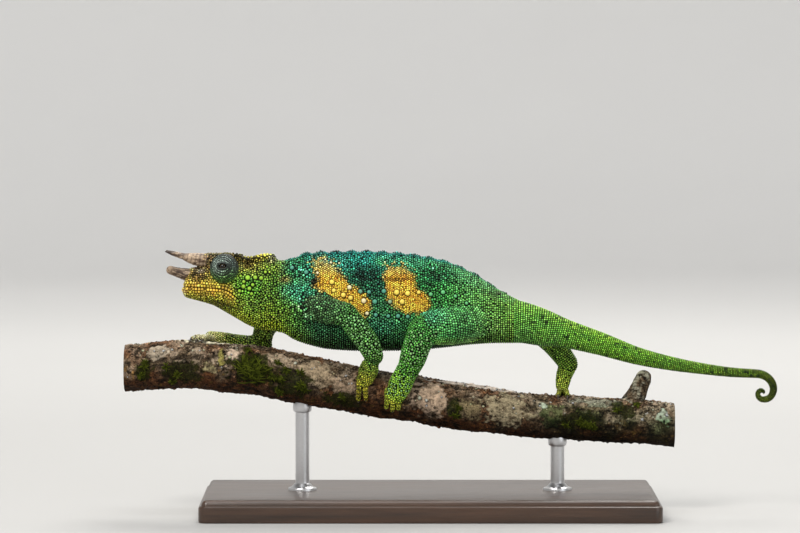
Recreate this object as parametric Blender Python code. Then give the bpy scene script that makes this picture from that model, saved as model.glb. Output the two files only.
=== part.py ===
"""A male three-horned chameleon walking along a cut length of branch, on a plain display stand.

Tables are in millimetres: x runs from the head (-) to the tail (+), y to the animal's right side (+),
z up from the underside of the stand's base, whose centre is the origin. Blender gets metres.
"""

import math
import random

import bmesh
import bpy
import numpy as np

MM = 0.001
GAP = 0.3  # left between two pieces that touch
SOLVER = "MANIFOLD"  # every piece is closed, and this solver stays exact and quick on many domes
RANDOM = random.Random(7)

BASE_SIZE = (164.0, 78.0, 8.0)
BASE_EDGE = 1.5
ROD_RADIUS = 2.5
ROD_X = {"stand_rod_front": -46.0, "stand_rod_rear": 46.0}
ROD_SOCKET = 5.0  # how far a rod is let into the base and into the branch

# Stations of the branch: x, height of its centre line, radius.
BRANCH = [
    (-110.0, 51.8, 8.5),
    (-88.0, 53.3, 8.8),
    (-68.0, 51.9, 9.1),
    (-50.0, 48.6, 9.3),
    (-30.0, 44.8, 8.8),
    (-12.0, 42.0, 8.6),
    (10.0, 38.2, 8.7),
    (36.0, 35.2, 8.1),
    (60.0, 33.5, 8.1),
    (88.0, 31.6, 8.1),
]
BRANCH_SIDES = 14
STUB = [(72.0, 0.5, 37.0), (75.0, 0.8, 43.5), (77.0, 1.2, 48.4)]
STUB_RADII = [5.2, 3.4, 3.0]

# Stations of head, neck and torso: x, top, bottom, half width, height of the widest
# place as a share, and how square the section is above and below it (2 is round).
TRUNK = [
    (-89.4, 81.4, 79.0, 1.3, 0.50, 2.0, 2.0),
    (-88.5, 82.6, 77.9, 2.6, 0.45, 2.0, 2.0),
    (-87.2, 86.8, 77.2, 3.6, 0.40, 2.0, 2.0),
    (-84.5, 88.6, 76.5, 4.5, 0.40, 2.2, 2.1),
    (-81.5, 90.4, 75.7, 5.1, 0.40, 2.3, 2.2),
    (-78.0, 92.8, 74.6, 5.7, 0.40, 2.4, 2.2),
    (-73.5, 93.5, 72.5, 6.3, 0.42, 2.5, 2.1),
    (-69.0, 92.6, 70.3, 7.2, 0.42, 2.3, 2.0),
    (-64.5, 92.3, 67.7, 7.7, 0.44, 2.0, 2.0),
    (-60.0, 93.3, 66.2, 7.6, 0.45, 1.9, 2.0),
    (-56.6, 93.0, 65.5, 7.1, 0.45, 1.8, 2.0),
    (-53.0, 91.2, 64.6, 6.7, 0.44, 1.8, 2.0),
    (-49.0, 91.9, 62.2, 6.6, 0.44, 1.7, 2.0),
    (-44.0, 93.4, 60.4, 7.2, 0.43, 1.6, 2.0),
    (-36.0, 93.8, 58.7, 8.3, 0.42, 1.55, 2.1),
    (-24.0, 94.0, 58.1, 9.2, 0.42, 1.55, 2.1),
    (-10.0, 93.3, 58.2, 9.6, 0.42, 1.55, 2.1),
    (4.0, 91.0, 59.2, 9.2, 0.43, 1.55, 2.1),
    (15.0, 86.6, 60.4, 8.0, 0.45, 1.6, 2.1),
    (25.0, 80.3, 60.9, 6.6, 0.48, 1.7, 2.0),
    (33.0, 76.3, 60.9, 5.8, 0.50, 1.8, 2.0),
]
TRUNK_SIDES = 20
HEAD_END = -57.5
NECK_END = -42.0
TORSO_SPLIT = -2.0
TORSO_END = 33.0

# Stations of the straight part of the tail: x, height, half height, half width.
TAIL = [
    (33.3, 68.6, 7.7, 5.8),
    (40.0, 66.9, 7.0, 5.1),
    (49.5, 64.3, 5.3, 4.4),
    (61.2, 60.9, 4.4, 3.8),
    (74.9, 56.4, 3.2, 2.9),
    (86.3, 53.8, 2.5, 2.4),
    (97.7, 51.9, 2.05, 2.0),
    (109.2, 50.5, 1.85, 1.8),
    (118.0, 50.0, 1.75, 1.65),
]
TAIL_SIDES = 12
CURL_LENGTH = 23.4  # of the spiral, were it wound to its centre
CURL_USED = 21.8
CURL_TIP = 0.55
TAIL_CUTS = [0.0, 14.0, 30.0, 50.0, 72.0, 91.5, 98.5, 103.2]  # distances along the tail

CREST_START, CREST_END, CREST_PITCH = -45.0, 22.0, 5.6
CREST_SIZE = (2.5, 0.9, 0.85)  # half length, half width and height of one scallop

# Rows of large tubercles along each flank: height, first x, last x. They grow as domes.
FLANK_ROWS = [(83.8, -37.0, -3.0), (80.0, -40.0, 9.0), (76.5, -23.5, -4.0), (72.2, -20.0, -9.0)]
FLANK_PITCH = 4.4
FLANK_SIZE = (1.0, 0.55)  # radius and height
FLANK_DROP = (-12.0, 0.0022)  # behind this x the rows bend down with the back, by this curve
LIMB_SIZE = (0.85, 0.45)
LIMB_ROWS, LIMB_COLUMNS = 4, 2  # tubercles along and round a forearm or shin

# Large plates on the cheek: x, height, radius.
CHEEK = [(-65.4, 85.0, 1.15), (-62.7, 85.1, 1.0), (-60.6, 84.6, 0.9), (-66.8, 82.6, 0.8),
         (-63.6, 82.3, 0.9), (-66.6, 80.6, 0.8), (-64.4, 79.6, 0.9), (-59.4, 87.6, 0.8)]
CHEEK_HEIGHT = 0.45
CASQUE_BEADS = 4  # along each side ridge of the casque, and along its middle
CASQUE_MIDDLE = (-67.5, -58.8)
CASQUE_SIZE = (1.0, 0.75)
LIP_X = np.array([-87.6, -84.0, -80.0, -76.0, -72.5])
LIP_RADIUS = 0.55

EYE = (-73.8, 4.9, 88.1)
EYE_RADIUS = 5.0
EYE_BULGE = 4.6
EYE_BACK = -1.9  # the turret is cut flat behind its centre
PUPIL_RADIUS = 1.0
PIT_FRONT = 0.97 * EYE_BULGE  # where the lids end, measured along the gaze
PIT_DEPTH = 1.2
GAZE = {"left": (-0.17, -0.96, 0.20), "right": (-0.30, 0.95, 0.06)}

# The mouth runs from the lips to its corner and drops behind it; x and height.
MOUTH = [(-92.0, 81.5), (-82.0, 81.4), (-75.0, 80.9), (-71.8, 79.8), (-68.4, 77.0)]
JAW_BACK = -68.4


def blend(at, knots, rows):
    """Cubic curve through rows at knots, without overshoot: each inner slope is the harmonic
    mean of the slopes on both sides, or level where they differ in sign."""
    knots, rows = np.asarray(knots, float), np.asarray(rows, float)
    step = np.diff(knots)[:, None]
    slope = np.diff(rows, axis=0) / step
    before, after = slope[:-1], slope[1:]
    product = before * after
    total = np.where(product > 0, before + after, 1.0)
    inner = np.where(product > 0, 2.0 * product / total, 0.0)
    tangent = np.vstack([slope[:1], inner, slope[-1:]])
    at = np.asarray(at, float)
    i = np.clip(np.searchsorted(knots, at, side="right") - 1, 0, len(step) - 1)
    h = step[i]
    u = (at[:, None] - knots[i, None]) / h
    return (
        (2 * u**3 - 3 * u**2 + 1) * rows[i]
        + (u**3 - 2 * u**2 + u) * h * tangent[i]
        + (3 * u**2 - 2 * u**3) * rows[i + 1]
        + (u**3 - u**2) * h * tangent[i + 1]
    )


def unit(vectors):
    vectors = np.asarray(vectors, float)
    return vectors / np.linalg.norm(vectors, axis=-1, keepdims=True)


def object_of(name, points, faces):
    """Makes a mesh object from points in millimetres, its faces turned outwards."""
    mesh = bpy.data.meshes.new(name)
    mesh.from_pydata((np.asarray(points) * MM).tolist(), [], faces)
    shape = bmesh.new()
    shape.from_mesh(mesh)
    bmesh.ops.recalc_face_normals(shape, faces=shape.faces)
    shape.to_mesh(mesh)
    shape.free()
    obj = bpy.data.objects.new(name, mesh)
    bpy.context.scene.collection.objects.link(obj)
    return obj


def skin_rings(name, rings):
    """Joins rings (count, sides, 3) into a closed tube with a fan over each end."""
    count, sides, _ = rings.shape
    points = np.vstack([rings.reshape(-1, 3), rings[0].mean(0)[None], rings[-1].mean(0)[None]])
    first, last = count * sides, count * sides + 1
    faces = []
    for k in range(sides):
        n = (k + 1) % sides
        faces.append((first, n, k))
        faces.append((last, (count - 1) * sides + k, (count - 1) * sides + n))
        for i in range(count - 1):
            a, b = i * sides, (i + 1) * sides
            faces.append((a + k, a + n, b + n, b + k))
    return object_of(name, points, faces)


def trunk_rings(x, grow=0.0):
    """Upright rings of head, neck and torso at the positions x: a superellipse above the
    widest place and another below it."""
    rows = blend(x, [row[0] for row in TRUNK], [row[1:] for row in TRUNK])
    top, bottom, half, wide, above, below = (column[:, None] for column in rows.T)
    turn = np.linspace(0.0, 2.0 * np.pi, TRUNK_SIDES, endpoint=False)[None, :]
    c, s = np.cos(turn), np.sin(turn)
    middle = bottom + wide * (top - bottom)
    power = 2.0 / np.where(c > 0, above, below)
    height = np.where(c > 0, top - middle, middle - bottom) + grow
    y = (half + grow) * np.sign(s) * np.abs(s) ** power
    z = middle + height * np.sign(c) * np.abs(c) ** power
    return np.stack([np.broadcast_to(np.asarray(x)[:, None], y.shape), y, z], axis=-1)


def trunk(name, start, end, spacing=2.8, grow=0.0):
    count = max(3, int(round((end - start) / spacing)) + 1)
    return skin_rings(name, trunk_rings(np.linspace(start, end, count), grow))


def trunk_spot(x, turn):
    """A place on the trunk's surface and the direction straight out of it; turn is the angle
    from the top, towards the right side."""
    rings = trunk_rings(np.array([x - 0.3, x, x + 0.3]))
    at = turn / (2.0 * np.pi) * TRUNK_SIDES
    k, part = int(math.floor(at)), at - math.floor(at)
    a, b = k % TRUNK_SIDES, (k + 1) % TRUNK_SIDES
    line = rings[:, a] * (1 - part) + rings[:, b] * part
    out = unit(np.cross(rings[1, b] - rings[1, a], line[2] - line[0]))
    centre = rings[1].mean(0)
    return line[1], out if out @ (line[1] - centre) > 0 else -out


def trunk_side(x, z, side):
    """The place on one side of the trunk at a given height, and the direction out of it."""
    turns = np.linspace(0.15, np.pi - 0.15, 60)
    heights = [trunk_spot(x, turn)[0][2] for turn in turns]
    turn = float(np.interp(-z, -np.array(heights), turns))
    spot, out = trunk_spot(x, turn)
    flip = np.array([1.0, -1.0 if side == "left" else 1.0, 1.0])
    return spot * flip, out * flip


def tube(name, path, radii, across, sides=10, steps=2, grow=0.0, flat=None, caps=(72.0, 38.0)):
    """A limb along a smooth path: oval rings square to it, closed by rounded ends. across is
    the direction that the radii are measured in, and flat is the share of them that the ring
    has the other way."""
    path, radii = np.asarray(path, float), np.asarray(radii, float)
    flat = np.ones(len(path)) if flat is None else np.asarray(flat, float)
    knots = np.concatenate([[0], np.cumsum(np.linalg.norm(np.diff(path, axis=0), axis=1))])
    at = np.linspace(0, knots[-1], steps * (len(path) - 1) + 1)
    rows = blend(at, knots, np.column_stack([path, radii, flat]))
    middle, wide = rows[:, :3], rows[:, 3] + grow
    deep = rows[:, 3] * rows[:, 4] + grow
    along = unit(np.gradient(middle, axis=0))
    side = unit(np.asarray(across) - (along @ np.asarray(across))[:, None] * along)
    up = np.cross(along, side)
    turn = np.linspace(0.0, 2.0 * np.pi, sides, endpoint=False)
    rings = []
    for i, scale, push in end_steps(len(middle), caps):
        centre = middle[i] + along[i] * push * min(wide[i], deep[i])
        oval = np.outer(np.cos(turn) * wide[i], side[i]) + np.outer(np.sin(turn) * deep[i], up[i])
        rings.append(centre + scale * oval)
    return skin_rings(name, np.array(rings))


def tube_spot(path, radii, share, angle, across):
    """A place on a limb at a share of its length; angle in degrees from across."""
    path, radii = np.asarray(path, float), np.asarray(radii, float)
    knots = np.linspace(0.0, 1.0, len(path))
    rows = blend([share - 0.02, share, share + 0.02], knots, np.column_stack([path, radii]))
    along = unit(rows[2, :3] - rows[0, :3])
    side = unit(np.asarray(across) - (along @ np.asarray(across)) * along)
    turn = math.radians(angle)
    out = side * math.cos(turn) + np.cross(along, side) * math.sin(turn)
    return rows[1, :3] + out * rows[1, 3], out


def end_steps(count, caps):
    """Which station each ring of a tube belongs to, its scale and its push along the path:
    the rings beyond the ends follow a quarter circle."""
    cap = [(math.cos(math.radians(a)), math.sin(math.radians(a))) for a in caps]
    steps = [(0, scale, -push) for scale, push in cap]
    steps += [(i, 1.0, 0.0) for i in range(count)]
    return steps + [(count - 1, scale, push) for scale, push in reversed(cap)]


def turned(name, profile, centre, axis, sides=14):
    """A shape turned about axis: profile lists (distance along the axis, radius)."""
    axis = unit(axis)
    side = unit(np.cross(axis, (1.0, 0.0, 0.0) if abs(axis[2]) > 0.9 else (0.0, 0.0, 1.0)))
    up = np.cross(side, axis)
    turn = np.linspace(0.0, 2.0 * np.pi, sides, endpoint=False)
    circle = np.outer(np.cos(turn), side) + np.outer(np.sin(turn), up)
    rings = [np.asarray(centre) + axis * along + circle * radius for along, radius in profile]
    return skin_rings(name, np.array(rings))


def bead(centre, out, radius, height, sides=5, long=1.0, along=(1.0, 0.0, 0.0)):
    """A low dome on a surface, its root sunk in it by most of its radius and its shoulder drawn
    in; long stretches it in one direction."""
    out = unit(out)
    ahead = unit(np.asarray(along) - (out @ np.asarray(along)) * out)
    side = np.cross(out, ahead)
    turn = np.linspace(0.0, 2.0 * np.pi, sides, endpoint=False)
    circle = np.outer(np.cos(turn) * long, ahead) + np.outer(np.sin(turn), side)
    centre = np.asarray(centre)
    root = centre - out * 0.8 * radius + circle * radius
    shoulder = centre + out * 0.62 * height + circle * 0.72 * radius
    points = np.vstack([root, shoulder, [centre + out * height]])
    faces = [tuple(range(sides))]
    for k in range(sides):
        n = (k + 1) % sides
        faces.append((k, n, sides + n, sides + k))
        faces.append((sides + k, sides + n, 2 * sides))
    return object_of("bead", points, faces)


def remove(obj):
    mesh = obj.data
    bpy.data.objects.remove(obj)
    bpy.data.meshes.remove(mesh)


def combine(obj, others, operation):
    """Applies one Boolean of all the others to obj, and removes them."""
    group = bpy.data.collections.new("joined")
    for other in others:
        group.objects.link(other)
    modifier = obj.modifiers.new(operation.lower(), "BOOLEAN")
    modifier.operation = operation
    modifier.operand_type = "COLLECTION"
    modifier.collection = group
    modifier.solver = SOLVER
    bpy.context.view_layer.update()
    graph = bpy.context.evaluated_depsgraph_get()
    mesh = bpy.data.meshes.new_from_object(obj.evaluated_get(graph))
    obj.modifiers.remove(modifier)
    old = obj.data
    obj.data = mesh
    bpy.data.meshes.remove(old)
    for other in others:
        remove(other)
    bpy.data.collections.remove(group)
    keep_largest(obj)
    return obj


def keep_largest(obj):
    """Leaves the largest closed surface of a mesh, and drops scraps and sealed hollows."""
    shape = bmesh.new()
    shape.from_mesh(obj.data)
    left, bodies = set(shape.faces), []
    while left:
        body, front = set(), [left.pop()]
        while front:
            face = front.pop()
            body.add(face)
            for edge in face.edges:
                for other in edge.link_faces:
                    if other in left:
                        left.discard(other)
                        front.append(other)
        bodies.append(body)
    bodies.sort(key=lambda body: sum(face.calc_area() for face in body))
    spare = [face for body in bodies[:-1] for face in body]
    bmesh.ops.delete(shape, geom=spare, context="FACES")
    shape.to_mesh(obj.data)
    shape.free()


def union(obj, others):
    return combine(obj, others, "UNION") if others else obj


def cut(obj, others):
    return combine(obj, others, "DIFFERENCE") if others else obj


def finish(obj, colour, roughness, metallic=0.0, sharp=40.0):
    """Gives a piece its own Principled material and smooth shading."""
    material = bpy.data.materials.new(obj.name)
    material.use_nodes = True
    shader = material.node_tree.nodes["Principled BSDF"]
    shader.inputs["Base Color"].default_value = (*colour, 1.0)
    shader.inputs["Roughness"].default_value = roughness
    shader.inputs["Metallic"].default_value = metallic
    obj.data.materials.clear()
    obj.data.materials.append(material)
    obj.data.shade_smooth()
    obj.data.set_sharp_from_angle(angle=math.radians(sharp))
    return obj


# ---------------------------------------------------------------- stand and branch


def branch_rows(x):
    return blend(x, [row[0] for row in BRANCH], [row[1:] for row in BRANCH])


def branch_spot(x, angle, off):
    """A place off millimetres outside the bark; angle in degrees from the top of the branch,
    positive towards the animal's left."""
    height, radius = branch_rows([x])[0]
    turn = math.radians(angle)
    return (x, -math.sin(turn) * (radius + off), height + math.cos(turn) * (radius + off))


def branch(grow=0.0):
    """The branch as rings whose radius swells and sinks a little in two slow waves."""
    x = np.linspace(BRANCH[0][0] - grow, BRANCH[-1][0] + grow, 24)
    height, radius = branch_rows(x).T
    turn = np.linspace(0.0, 2.0 * np.pi, BRANCH_SIDES, endpoint=False)[None, :]
    wave = 0.25 * np.sin(3 * turn + 0.11 * x[:, None]) + 0.2 * np.sin(5 * turn - 0.23 * x[:, None])
    around = radius[:, None] + wave + grow
    y = around * np.sin(turn)
    z = height[:, None] + around * np.cos(turn)
    return skin_rings("perch", np.stack([np.broadcast_to(x[:, None], y.shape), y, z], axis=-1))


def rod(name, x, grow=0.0):
    low = BASE_SIZE[2] - ROD_SOCKET
    height, radius = branch_rows([x])[0]
    top = height - radius + ROD_SOCKET
    profile = [(low - grow, ROD_RADIUS + grow), (top + grow, ROD_RADIUS + grow)]
    return turned(name, profile, (x, 0.0, 0.0), (0.0, 0.0, 1.0), sides=16)


def make_stand():
    long, deep, high = (side / 2 for side in BASE_SIZE)
    points = [
        (sx * (long - inset), sy * (deep - inset), z)
        for z, inset in ((0.0, 0.0), (2 * high - BASE_EDGE, 0.0), (2 * high, BASE_EDGE))
        for sx, sy in ((-1, -1), (1, -1), (1, 1), (-1, 1))
    ]
    faces = [(0, 1, 2, 3), (8, 9, 10, 11)]
    for level in (0, 4):
        for k in range(4):
            n = (k + 1) % 4
            faces.append((level + k, level + n, level + 4 + n, level + 4 + k))
    base = object_of("stand_base", points, faces)
    cut(base, [rod("socket", x, GAP) for x in ROD_X.values()])
    finish(base, (0.10, 0.055, 0.03), 0.45)
    for name, x in ROD_X.items():
        finish(rod(name, x), (0.6, 0.6, 0.62), 0.3, 1.0)


def make_perch():
    perch = branch()
    union(perch, [tube("stub", STUB, STUB_RADII, (1.0, 0.0, 0.0), sides=12)])
    cut(perch, [rod("socket", x, GAP) for x in ROD_X.values()])
    finish(perch, (0.20, 0.15, 0.12), 0.85)


# ---------------------------------------------------------------- head


def mirrored(points, side):
    return [(x, -y if side == "left" else y, z) for x, y, z in points]


def turret(name, side, grow=0.0):
    """The scaly cone of lids round one eye: an ellipsoid turned about the gaze, with shallow
    rings, a pit at its front, and a flat back."""
    profile = [(EYE_BACK - grow, 0.92 * EYE_RADIUS + grow)]
    for k in range(10):
        turn = math.radians(-8.0 + 9.6 * k)
        ring = 0.0 if grow or k < 2 else 0.12 * (-1) ** k
        along = (EYE_BULGE + grow + ring) * math.sin(turn)
        profile.append((along, (EYE_RADIUS + grow + ring) * math.cos(turn)))
    if not grow:
        profile = [row for row in profile if row[1] > 1.7 * PUPIL_RADIUS or row[0] < 0]
        profile += [(PIT_FRONT + 0.25, 1.45 * PUPIL_RADIUS), (PIT_FRONT, 1.1 * PUPIL_RADIUS)]
        profile += [(PIT_FRONT - PIT_DEPTH, PUPIL_RADIUS)]
    centre = mirrored([EYE], side)[0]
    return turned(name, profile, centre, GAZE[side])


def eyeball(name, side):
    """The eye itself, which fills the pit between the lids."""
    radius = PUPIL_RADIUS - GAP
    profile = [(PIT_FRONT - PIT_DEPTH + GAP, radius)]
    for turn in (0.0, 0.4, 0.8, 1.2):
        profile.append((PIT_FRONT - 0.5 + 0.45 * math.sin(turn), radius * math.cos(turn)))
    return turned(name, profile, mirrored([EYE], side)[0], GAZE[side])


# Each horn: its path and radii, then the scaly seat on the head that it grows from.
HORNS = {
    "rostral": ([(-84.2, 0, 85.5), (-87.0, 0, 85.9), (-91.0, 0, 86.8), (-93.3, 0, 87.2)],
                [2.5, 2.4, 1.9, 1.45],
                [(-82.0, 0, 85.2), (-85.2, 0, 85.7)], [3.3, 2.85]),
    "orbital": ([(-80.9, 2.8, 91.1), (-84.8, 3.0, 91.3), (-88.7, 3.2, 92.1),
                 (-92.0, 3.3, 93.2), (-95.0, 3.4, 94.2)],
                [1.95, 1.9, 1.4, 1.05, 0.35],
                [(-78.0, 2.4, 91.2), (-81.2, 2.85, 91.1)], [2.5, 2.3]),
}


def horn(name, kind, side="right", grow=0.0):
    path, radii = HORNS[kind][:2]
    return tube(name, mirrored(path, side), radii, (0.0, 1.0, 0.0), grow=grow)


def horn_seat(kind, side="right"):
    path, radii = HORNS[kind][2:]
    return tube("seat", mirrored(path, side), radii, (0.0, 1.0, 0.0), sides=12)


def jaw_block(grow):
    """What is cut off the head as its lower jaw: all below the mouth and before its corner,
    well beyond the head below and on both sides."""
    top = [(x, z + grow) for x, z in MOUTH]
    outline = top + [(JAW_BACK + grow, top[-1][1]), (JAW_BACK + grow, 60.0), (MOUTH[0][0], 60.0)]
    points = [(x, y, z) for y in (-15.0, 15.0) for x, z in outline]
    count = len(outline)
    faces = [tuple(range(count)), tuple(range(count, 2 * count))]
    for k in range(count):
        n = (k + 1) % count
        faces.append((k, n, count + n, count + k))
    return object_of("jaw_block", points, faces)


BROW = [(-81.0, 2.9, 90.8), (-77.5, 3.2, 92.7), (-73.5, 3.2, 93.3), (-69.5, 3.9, 92.4),
        (-66.0, 4.6, 91.3), (-62.0, 4.2, 91.6), (-58.9, 2.9, 92.3)]
BROW_RADII = [1.3, 1.0, 0.9, 1.1, 1.0, 1.0, 1.0]
NOSTRIL = (-83.0, 84.4)


def make_head():
    head = trunk("head", TRUNK[0][0], HEAD_END, spacing=1.7)
    ridges = [tube("brow", mirrored(BROW, side), BROW_RADII, (0, 1, 0), sides=6, caps=(45.0,))
              for side in ("left", "right")]
    seats = [horn_seat("rostral"), horn_seat("orbital", "left"), horn_seat("orbital", "right")]
    scales = [piece for side in ("left", "right") for piece in head_scales(side)]
    lips = [lip(side, part) for side in ("left", "right") for part in (-1, 1)]
    union(head, ridges + seats + scales + casque_middle() + lips)
    holes = [turret("socket", side, GAP) for side in ("left", "right")]
    holes += [horn("socket", "orbital", side, GAP) for side in ("left", "right")]
    holes.append(horn("socket", "rostral", grow=GAP))
    holes += [nostril(side) for side in ("left", "right")]
    cut(head, holes)
    jaw = object_copy(head, "jaw")
    combine(jaw, [jaw_block(0.0)], "INTERSECT")
    cut(head, [jaw_block(GAP)])
    finish(head, (0.20, 0.34, 0.06), 0.55)
    finish(jaw, (0.42, 0.36, 0.05), 0.55)
    for side in ("left", "right"):
        finish(turret(f"eye_turret_{side}", side), (0.06, 0.11, 0.08), 0.5)
        finish(eyeball(f"eyeball_{side}", side), (0.01, 0.01, 0.01), 0.1)
        finish(horn(f"horn_orbital_{side}", "orbital", side), (0.36, 0.30, 0.24), 0.5)
    finish(horn("horn_rostral", "rostral"), (0.33, 0.28, 0.24), 0.5)


def head_scales(side):
    """The cheek's plates and the beads along the side ridge of the casque, the last stations
    of the brow."""
    pieces = [bead(*trunk_side(x, z, side), radius, CHEEK_HEIGHT) for x, z, radius in CHEEK]
    ridge, radii = mirrored(BROW[-4:], side), BROW_RADII[-4:]
    outward = 1.0 if side == "right" else -1.0
    for share in np.linspace(0.15, 0.97, CASQUE_BEADS):
        spot, _ = tube_spot(ridge, radii, share, 65.0, (0.0, outward, 0.0))
        pieces.append(bead(spot - (0.0, 0.0, 0.2), (0.0, 0.45 * outward, 1.0), *CASQUE_SIZE))
    return pieces


def casque_middle():
    return [bead(trunk_spot(x, 0.0)[0], (0.0, 0.0, 1.0), *CASQUE_SIZE)
            for x in np.linspace(*CASQUE_MIDDLE, CASQUE_BEADS)]


def lip(side, part):
    """The raised row of scales above (1) or below (-1) the mouth."""
    xs, zs = zip(*MOUTH)
    path = []
    for x in LIP_X:
        z = float(np.interp(x, xs, zs)) + GAP / 2 + part * (LIP_RADIUS + GAP / 2)
        path.append(trunk_side(x, z, side)[0])
    return tube("lip", path, [LIP_RADIUS] * len(path), (0, 0, 1), sides=5, steps=1, caps=(45.0,))


def nostril(side):
    x, z = NOSTRIL
    spot = mirrored([(x, 3.4, z)], side)[0]
    out = (-0.35, -1.0 if side == "left" else 1.0, 0.1)
    return turned("nostril", [(-0.5, 0.25), (2.6, 0.9)], spot, out, sides=10)


def object_copy(obj, name):
    copy = bpy.data.objects.new(name, obj.data.copy())
    bpy.context.scene.collection.objects.link(copy)
    return copy


# ---------------------------------------------------------------- neck, torso and tail


def crest(start, end):
    """Low pointed scallops along the middle of the back between two stations."""
    pieces = []
    half, wide, high = CREST_SIZE
    count = int((CREST_END - CREST_START) / CREST_PITCH) + 1
    for k in range(count):
        x = CREST_START + k * CREST_PITCH
        if start + half < x < end - half:
            spot, out = trunk_spot(x, 0.0)
            out = (out[0], 0.0, out[2])
            fade = 1.0 - 0.4 * k / count
            pieces.append(bead(spot, out, wide, high * fade, sides=6, long=half / wide))
    return pieces


def flank(start, end):
    """Large tubercles in loose rows along both flanks, each a little off its place."""
    radius, height = FLANK_SIZE
    pieces = []
    for z, first, last in FLANK_ROWS:
        for side in ("left", "right"):
            for k in range(int((last - first) / FLANK_PITCH) + 1):
                x = first + k * FLANK_PITCH + RANDOM.uniform(-0.9, 0.9)
                bend = max(0.0, x - FLANK_DROP[0])
                high = z + RANDOM.uniform(-0.7, 0.7) - FLANK_DROP[1] * bend**2
                size = RANDOM.uniform(0.8, 1.1)
                if start + radius + GAP < x < end - radius - GAP:
                    pieces.append(bead(*trunk_side(x, high, side), radius * size, height * size))
    return pieces


def make_trunk():
    neck = trunk("neck", HEAD_END + GAP, NECK_END)
    finish(neck, (0.20, 0.34, 0.06), 0.55)
    front = trunk("torso_front", NECK_END + GAP, TORSO_SPLIT)
    union(front, crest(NECK_END, TORSO_SPLIT) + flank(NECK_END, TORSO_SPLIT))
    finish(front, (0.02, 0.25, 0.20), 0.55)
    rear = trunk("torso_rear", TORSO_SPLIT + GAP, TORSO_END)
    union(rear, crest(TORSO_SPLIT, TORSO_END) + flank(TORSO_SPLIT, TORSO_END))
    finish(rear, (0.02, 0.26, 0.14), 0.55)


def tail_line():
    """The tail's middle line as (distance, x, height, half height, half width, heading). Its end is
    an equiangular spiral: it turns half a circle each time the length left falls by a factor e."""
    rows = np.array(TAIL)
    run = np.concatenate([[0], np.cumsum(np.linalg.norm(np.diff(rows[:, :2], axis=0), axis=1))])
    at = np.linspace(0, run[-1], 70)
    straight = blend(at, run, rows)
    step = 0.2
    s = np.arange(step, CURL_USED + step / 2, step)
    slope = np.diff(straight[-2:, :2], axis=0)[0]
    start = math.atan2(slope[1], slope[0])
    heading = start - math.pi * np.log(CURL_LENGTH / (CURL_LENGTH - s))
    curl = np.column_stack([np.cos(heading), np.sin(heading)]) * step
    curl = straight[-1, :2] + np.cumsum(curl, axis=0)
    size = blend(s, [0, 8, 15, CURL_USED], [TAIL[-1][2:], (1.5, 1.45), (1.2, 1.15), (CURL_TIP,) * 2])
    points = np.vstack([straight, np.column_stack([curl, size])])
    distance = np.concatenate([at, run[-1] + s])
    return distance, points


def tail(name, start, end, grow=0.0):
    """One length of the tail: oval rings, upright at the vent and square to the tail beyond."""
    distance, points = tail_line()
    end = min(end, distance[-1])
    count = max(5, int((end - start) / (2.4 if start < 85 else 0.75)) + 1)
    at = np.linspace(start, end, count)
    x, z, high, wide = (np.interp(at, distance, column) for column in points.T)
    dx = np.interp(at + 0.1, distance, points[:, 0]) - np.interp(at - 0.1, distance, points[:, 0])
    dz = np.interp(at + 0.1, distance, points[:, 1]) - np.interp(at - 0.1, distance, points[:, 1])
    lean = np.clip(at / 15.0, 0.0, 1.0) * np.unwrap(np.arctan2(dz, dx))
    turn = np.linspace(0.0, 2.0 * np.pi, TAIL_SIDES, endpoint=False)[None, :]
    up = (high[:, None] + grow) * np.cos(turn)
    rings = np.stack(
        [
            x[:, None] - np.sin(lean)[:, None] * up,
            (wide[:, None] + grow) * np.sin(turn),
            z[:, None] + np.cos(lean)[:, None] * up,
        ],
        axis=-1,
    )
    return skin_rings(name, rings)


def make_tail():
    last = len(TAIL_CUTS) - 1
    for k, start in enumerate(TAIL_CUTS):
        end = TAIL_CUTS[k + 1] - GAP if k < last else math.inf
        name = f"tail_{k + 1}" if k < last - 2 else f"tail_curl_{k - last + 3}"
        green = 0.30 - 0.03 * k
        finish(tail(name, start, end), (0.05, green, 0.04), 0.55)


# ---------------------------------------------------------------- legs

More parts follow.
